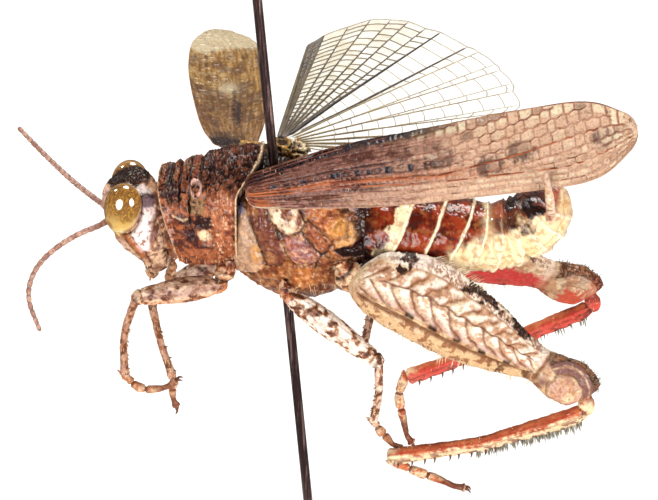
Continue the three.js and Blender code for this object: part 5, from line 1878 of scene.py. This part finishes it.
def closed_wing_tones(skin, s, strip, cell, hollow, outline):
    patch = rough(skin.at * (0.6, 1, 1), 0.8, shift=2)
    small = rough(skin.at, 0.3, shift=5)
    v = skin.v
    lines = rough(np.stack([s * 8, v * 24, 0 * s], 1), 1.0, shift=3)
    clear = step(s + 0.06 * patch - 0.12 * (v - 0.4) + 0.06 * (strip < 5), 0.25, 0.62)
    middle = np.interp(s, (0, 0.25, 0.5, 0.75), (0.42, 0.42, 0.34, 0.3))
    copper = np.maximum(0.9 * bell(v - middle, 0.06) * fade(s, 0.5, 0.75),
                        0.6 * bell(v - 0.52, 0.07) * fade(s, 0.25, 0.36))
    copper = copper * step(lines + 0.4 * small, -0.6, 0.1)
    top_edge = step(v, 0.84, 0.91) * step(s, 0.4, 0.5)
    tip_edge = step(s, 0.9, 0.96)
    clouds = most(*(1 - step(np.hypot((s - at) / 0.035, (v - up) / 0.13) + 0.35 * small, 0.7, 1.3)
                    for at, up in CLOUDS))
    spots = (cell < 0.95 - 1.3 * s) * (strip == SPOTTED_STRIP) * within(s, 0.05, 0.08, 0.45, 0.5)
    lobe = bell(s - 0.03, 0.035) * bell(v - 0.12, 0.12)
    # The cleft at the upper base is sunk, and it and the rim band along the upper edge near the base are
    # painted black: the painted shadow between the wing and the body.
    shaded_cleft = step(v - 1.2 * s + 0.05 * small, 0.62, 0.72) * fade(s, 0.2, 0.36)
    rim = step(v + 0.06 * small - 0.25 * s, 0.76, 0.86) * fade(s, 0.4, 0.55)
    smudge = (strip == SPOTTED_STRIP) * step(lines + small, -0.3, 0.4) * fade(s, 0.35, 0.5)
    smudge = smudge * step(s, 0.05, 0.1)
    line_soot = bell(v - 0.6, 0.016) * fade(s, 0.3, 0.42) * step(s, 0.04, 0.1)
    skin.marks.update(
        streak=step(lines + 0.4 * small + 0.6 * clear, -0.45, 0.45),
        vein=outline * (0.3 + 0.35 * clear + 0.35 * np.maximum(top_edge, tip_edge))
        * np.where(strip < 5, 0.5, 1),
        copper=shown(copper + 0.9 * bell(s - 0.03, 0.03) * bell(v - 0.58, 0.12) + lobe),
        tan=clear * 0.9,
        ochre=0,
        olive=0.8 * step(v, 0.86, 0.92) * within(s, 0.16, 0.26, 0.45, 0.6),
        cloud=shown(0.9 * clouds * (0.5 + 0.4 * (cell < 0.7))
                    + 0.5 * (strip > 7) * (cell < 0.3) * (s > 0.1) * hollow + 0.1 * clear * (cell < 0.2)
                    + 0.5 * step(v, 0.52, 0.6) * fade(s, 0.18, 0.32) * step(lines, -0.5, 0.2)),
        cream=shown(hollow * (0.1 + 0.5 * (cell > 0.5)) * np.maximum(top_edge, 0.7 * tip_edge)
                    + hollow * clear * (0.05 + 0.2 * (cell > 0.85))
                    + 0.3 * hollow * (v < 0.2) * step(s, 0.5, 0.6) * (cell > 0.4)
                    + 0.8 * bell(v - 0.015, 0.03) * fade(s, 0.06, 0.1)
                    + 0.35 * hollow * (strip == 4) * (cell > 0.6)),
        soot=shown(0.95 * spots * (0.6 + 0.4 * step(small, -0.4, 0.2)) + 0.75 * smudge + 0.9 * rim
                   + 0.95 * shaded_cleft
                   + 0.9 * line_soot + 0.6 * bell(v - 0.27, 0.012) * fade(s, 0.4, 0.5)),
    )
    skin.lift(0.22 * lobe - 0.12 * shaded_cleft)


forewing("left_forewing", "forewing_left", root=(-4.15, -2.35, 4.1), tip=(15.3, -1.9, 7.7),
         facing=(0, -1, 0.4),
         tone_marks=closed_wing_tones, width=1.0, stems=(3, 6))

# %% [markdown]
# The spread fore wing shows its underside: duller, ochre and grey, with a pale tip and no copper stems.

# %% The spread fore wing
def spread_wing_tones(skin, s, _strip, cell, hollow, outline):
    patch = rough(skin.at * (1, 0.6, 1), 0.9, shift=2)
    small = rough(skin.at, 0.3, shift=5)
    v = skin.v
    lines = rough(np.stack([s * 9, v * 24, 0 * s], 1), 1.0, shift=6)
    pale_tip = step(s + 0.04 * patch, 0.77, 0.83)
    cloudy = patch + 0.3 * small + 0.6 * bell(s - 0.42, 0.16) - 0.7 * pale_tip
    skin.marks.update(
        streak=step(lines + 0.5 * small, -0.5, 0.5),
        vein=0.3 * outline,
        copper=0.4 * fade(s, 0.2, 0.35) * step(patch, -0.3, 0.3),
        tan=0.5 * step(patch, 0.0, 0.5) * (s < 0.75),
        ochre=shown(0.6 + 0.35 * step(s, 0.15, 0.4) + 0.3 * pale_tip),
        olive=0.4 * step(small, -0.2, 0.3),
        cloud=0.6 * step(cloudy, 0.1, 0.6),
        cream=shown(0.65 * pale_tip + 0.15 * hollow * (cell > 0.6)
                    + 0.6 * bell(s - 0.5, 0.05) * bell(v - 0.5, 0.12)),
        soot=shown(0.75 * step(bell(v - 0.42, 0.07) * bell(s - 0.3, 0.16) + 0.5 * small, 0.4, 0.8)
                   + 0.9 * fade(s, 0.04, 0.16) * step(patch, -0.5, 0.0)),
    )


forewing("right_forewing", "forewing_right", root=(-4.75, 2.4, 4.5), tip=(-7.35, 20.25, 3.6),
         facing=(0, 0, 1),
         tone_marks=spread_wing_tones, width=0.35, stems=())

# %% [markdown]
# The spread hind wing is a clear fan, stiffened by pleats. Veins ray out from the hinge, smoky and close
# together at the leading edge, and cross-veins cut the strips between them into square cells.

# %% A pleated fan
class Fan:
    """A pleated sheet round a hinge: u is the turn from the leading edge, v the share of the reach."""

    HINGE = np.array((-2.75, 2.35, 4.72))
    START, SWEEP, RISE, DEPTH, HUB = 3.0, 100.0, 0.035, 0.12, 0.5
    RAYS = (0, 0.014, 0.03, 0.07, 0.105, 0.14, 0.175, 0.215, 0.255, 0.325, 0.37, 0.42, 0.465, 0.515, 0.57,
            0.62,
            0.67, 0.72, 0.77, 0.82, 0.865, 0.91, 0.955, 1)
    STRONG = (8, 9)  # the two dark rays in front of the pleated part
    FRONT = 8  # the rays before the pleated part

    def __init__(self, node):
        at, triangles = solid_mesh(node)
        tree = BVHTree.FromPolygons(at.tolist(), triangles.tolist())
        self.turns = np.linspace(0, 1, 240)
        reach = []
        for u in np.clip(self.turns, 0.004, 0.996):
            ray = self.ray(np.array([u]))[0]
            hit = tree.ray_cast(Vector(self.HINGE + 30 * ray), Vector(-ray), 30)[3]
            reach.append(np.nan if hit is None else 30 - hit)
        reach = np.array(reach)
        good = ~np.isnan(reach)
        order = np.interp(self.turns, self.RAYS, np.arange(len(self.RAYS)))
        scallop = 0.3 * np.abs(np.sin(np.pi * (order - self.FRONT) / 2)) * step(self.turns, 0.2, 0.4)
        round_apex = 1.3 * np.exp(-self.turns / 0.04)
        reach = blurred(np.interp(self.turns, self.turns[good], reach[good]), 4)
        self.reach = reach - 0.3 + scallop - round_apex
        self.out = np.array((0, 0, 1.0))

    def ray(self, u):
        turn = np.radians(self.START + self.SWEEP * u)
        return np.stack([np.sin(turn), np.cos(turn), self.RISE * np.cos(turn)], 1)

    def at(self, u, v, lift=0.0):
        """Points on the fan, lifted off it."""
        reach = self.HUB + v * (np.interp(u, self.turns, self.reach) - self.HUB)
        pleats = [(-1) ** k * (0.25 if k < self.FRONT else 1) for k in range(len(self.RAYS))]
        fold = np.interp(u, self.RAYS, pleats)
        points = self.HINGE + reach[:, None] * self.ray(u)
        points[:, 2] += self.DEPTH * fold * np.minimum(1, 3 * v) + lift
        return points


fan = Fan("hindwing_right")
print("the fan reaches", round(fan.reach.max(), 1), "mm")

# %% Hind wings' finish
membrane = Finish("clear_membrane", Roughness=0.25, IOR=1.4)
haze = membrane.noise(0.8, detail=4)
clear_tone = membrane.mix(haze.span(0.4, 0.6), 0xF0EADA, 0xDED2B4)
membrane_finish = membrane.output(
    Base_Color=membrane.mix(membrane.mark("band"), clear_tone, 0x5A5048),
    Alpha=0.1 + 0.55 * membrane.mark("smoke"),
    Roughness=0.2 + 0.2 * haze,
    Normal=membrane.bump(membrane.noise(5, detail=3), 0.02),
)
fan_vein = Finish("fan_vein", Coat_Weight=0.2, Coat_Roughness=0.3)
straw_vein = fan_vein.mix(fan_vein.noise(0.7).span(0.4, 0.6), 0xB8A070, 0x9A8458)
smoky_vein = fan_vein.mix(fan_vein.noise(1.2).span(0.4, 0.6), 0x4E4038, 0x2C2222)
fan_vein_finish = fan_vein.output(Base_Color=fan_vein.mix(fan_vein.mark("dark"), straw_vein, smoky_vein),
                                  Roughness=0.4 + 0.2 * fan_vein.noise(6))
print("nodes in the clear membrane:", len(membrane.tree.nodes))

# %% The spread hind wing's sheet
bm, u, v = unit_grid(288, 48)
fan_skin = Skin(bm, fan.at(u, v), np.tile(fan.out, (len(u), 1)), u, v)
patch = rough(fan_skin.at, 1.6)
fan_skin.marks["smoke"] = np.clip(
    1.2 * fade(u, 0.028, 0.032) + 0.65 * fade(u, 0.1, 0.3) * (0.6 + 0.4 * step(patch + v, 0, 0.8))
    + 0.8 * bell(v, 0.12) + 0.1 * step(patch, 0, 0.5) + 0.1 * fade(u, 0.2, 0.7), 0, 1)
fan_skin.marks["band"] = fade(u, 0.028, 0.032)
keep_sheet("right_hindwing_sheet", fan_skin, 0.03, membrane_finish, "hindwing", "hindwing_right")

# %% The spread hind wing's veins
def ray_look(k):
    """A ray's radius and how dark it is."""
    if k < 3:
        return (0.14, 0.1, 0.1)[k], 0.8
    if k in fan.STRONG:
        return 0.1, 1.0
    if k < fan.FRONT:
        return 0.07, 0.85
    return 0.052 - 0.012 * (k % 2), 0.2


net = Tubes()
for k, turn in enumerate(fan.RAYS):
    width, dark = ray_look(k)
    run = np.linspace(0 if k < fan.FRONT else 0.03 + 0.05 * (k % 2), 1, 40)
    radii = width * (1 - 0.6 * run)
    radii[[0, -1]] = 0
    net.add(fan.at(np.full(40, turn), run), radii, sides=6, up=fan.out, dark=dark)
edge = np.linspace(0, 1, 240)
net.add(fan.at(edge, np.full(240, 0.999)), 0.022, sides=4, up=fan.out, dark=0.3)
for k, (left, right) in enumerate(zip(fan.RAYS[:-1], fan.RAYS[1:])):
    front = k < fan.FRONT
    place = 0.05 if front else 0.14
    while place < 0.985:
        place += (0.028 + 0.03 * place if front else 0.065
                  + 0.015 * place) * (1 + 0.25 * random.uniform(-1, 1))
        if place < 0.985 and (right - left) * fan.SWEEP / 57 * place * 14 > 0.1:
            t = np.linspace(0, 1, 3)
            net.add(fan.at(left + (right - left) * t, place + 0.006 * random.uniform(-1, 1) * t),
                    0.036 if front else 0.022, sides=4, up=fan.out, dark=0.6 if front else 0.2)
finished("right_hindwing_veins", net.mesh(), fan_vein_finish, "hindwing")

# %% [markdown]
# The left hind wing lies folded under its fore wing, in a few flat pleats.

# %% The folded hind wing
folded = Wing("hindwing_left", (-2.2, -1.5, 4.6), (13.2, -0.75, 6.9), (0, -0.87, 0.5))
fold_skin = sheet_skin(folded, 200, 90)
fold_skin.lift(0.07 * (np.abs((fold_skin.v * 9) % 1 - 0.5) * 4 - 1))
fold_skin.marks.update(smoke=0.9, band=0.6)
keep_sheet("left_hindwing_sheet", fold_skin, 0.08, membrane_finish, "hindwing", "hindwing_left")
net = Tubes()
for k in range(10):
    run = np.linspace(0.01, 0.98, 60)
    net.add(folded.at(run, np.full(60, k / 9 * 0.98 + 0.01), 0.07), 0.045, sides=5, up=folded.out, dark=0.6)
finished("left_hindwing_veins", net.mesh(), fan_vein_finish, "hindwing")

# %% [markdown]
# The spread wings turn on small crumpled plates of horn in the soft skin of the hinge. They are one
# flat disc pushed into folds, ochre with brown creases. A black plate of the same kind lies on the back
# between them: the dark back, and painted shade in the deep cleft there.

# %% Wing hinges
hinge_finish = shell(
    "hinge_horn", 0xB48A4C, 0x7C5428, 0x2E1A10, marks=[("cream", 0xEADCB8), ("black", 0x20140E)],
    gloss=0.2, coat=0.8, speck=0.5, wear_and_highlight=0.5,
)
HINGES = {
    "fore_hinge": ((-4.2, 2.1, 4.35), (1.0, 0.75, 0.4), 0.0),
    "hind_hinge": ((-2.3, 2.2, 4.5), (1.15, 1.0, 0.42), 0.0),
    # The back plate is black all over: the dark back, and painted shade in the deep cleft there.
    "back_plate": ((-3.1, 0.5, 4.15), (1.5, 1.5, 0.5), 1.0),
}
for name, (centre, size, dark_back_and_shade) in HINGES.items():
    bm, ball = fine_ball()
    horn = Skin(bm, ball * size + centre, ball, ball[:, 0], ball[:, 2])
    crease = folds(horn.at * (1, 0.7, 1), 0.55, shift=4)
    horn.lift(0.3 * (crease - 0.6) + 0.06 * rough(horn.at, 0.25))
    outer_end = step(horn.x, centre[0] + 0.4, centre[0] + 0.8)
    inner_end = step(-horn.x, -centre[0] + 0.2, -centre[0] + 0.7)
    horn.marks.update(relief=0.35 * (crease - 0.6), cream=(1 - dark_back_and_shade) * 0.8 * outer_end * (crease > 0.6),
                      black=np.maximum(dark_back_and_shade, 0.8 * inner_end))
    keep(name, horn, hinge_finish, "hindwing")

# %% [markdown]
# The insect pin is a thin black-lacquered steel wire with a small round head. It is turned: a profile
# of radii along its own line, from the point in the block to the head. Pale streaks along it are a
# painted highlight.

# %% Pin
steel = Finish("lacquered_steel", Metallic=0.85, Coat_Weight=0.6, Coat_Roughness=0.08)
# Pale streaks along the wire are a painted highlight: the bright lines that lamps lay along it.
drawn = steel.node("ShaderNodeMapping", None, {"Vector": steel.place(), "Scale": (1, 1, 0.06)})
highlight_streaks = steel.noise(5, detail=5, rough=0.7, where=drawn)
steel_finish = steel.output(
    Base_Color=steel.mix(highlight_streaks.span(0.5, 0.62), 0x44302E, 0x9C7C76),
    Roughness=0.18 + 0.25 * highlight_streaks,
    Normal=steel.bump(steel.noise(9, detail=3), 0.01),
)
PIN = {"top": np.array((-3.64, 0, 14.9)), "tip": np.array((-0.15, 0, -25.0)), "radius": 0.24, "head": 0.6}
STATIONS = 400  # points along the pin
pin_line = smooth_line([PIN["tip"], PIN["top"] + unit(PIN["top"] - PIN["tip"]) * 0.75], count=STATIONS)
bm, u, v = unit_grid(STATIONS - 1, 24)
run = u * np.linalg.norm(pin_line[-1] - pin_line[0])
length = run.max()
_, upward, near = frames(pin_line, np.array((1.0, 0, 0)))
index = (u * (STATIONS - 1)).round().astype(int)
out = np.cos(2 * np.pi * v)[:, None] * upward[index] + np.sin(2 * np.pi * v)[:, None] * near[index]
ball = np.sqrt(np.clip(PIN["head"] ** 2 - (run - (length - PIN["head"])) ** 2, 0, None))
shaft = PIN["radius"] * np.clip(run / 1.2, 0, 1) ** 0.7 * (run < length - 2 * PIN["head"] + 0.2)
collar = 0.33 * bell(run - (length - 2 * PIN["head"] - 0.1), 0.18)
radius = most(ball, shaft, collar) * (u > 0) * (u < 1)
pin = Skin(bm, pin_line[index] + out * radius[:, None], out, u, v, run)
keep("insect_pin_wire", pin, steel_finish, "pin_steel", "insect_pin")

# %% [markdown]
# The pin's point stands in a small painted wooden block with softened edges.

# %% Display block
paint = Finish("painted_wood", Coat_Weight=0.15, Coat_Roughness=0.4)
along_grain = paint.node("ShaderNodeMapping", None, {"Vector": paint.place(), "Scale": (0.08, 1, 1)})
wood = paint.noise(1.2, detail=5, where=along_grain)
paint_finish = paint.output(
    Base_Color=paint.mix(wood.span(0.45, 0.6) * 0.6, 0xECE8E0, 0xDCD4C6),
    Roughness=0.45 + 0.2 * wood,
    Normal=paint.bump(wood, 0.06),
)
low, high = (Vector(corner) / MM - Vector((0, 0, LEVEL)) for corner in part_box("stand_base"))
block = bmesh.new()
block.loops.layers.uv.new("surface")
bmesh.ops.create_cube(block, size=1.0, calc_uvs=True)
bmesh.ops.scale(block, vec=high - low, verts=block.verts)
bmesh.ops.translate(block, vec=(high + low) / 2, verts=block.verts)
bmesh.ops.bevel(block, geom=block.edges[:], offset=0.8, offset_type="OFFSET", affect="EDGES", segments=5,
                profile=0.5, material=-1)
top_faces = [face for face in block.faces if face.normal.z > 0.99]
bmesh.ops.inset_region(block, faces=top_faces, thickness=0.7, depth=0)
finished("display_block", block, paint_finish, "base_wood", "stand_base")
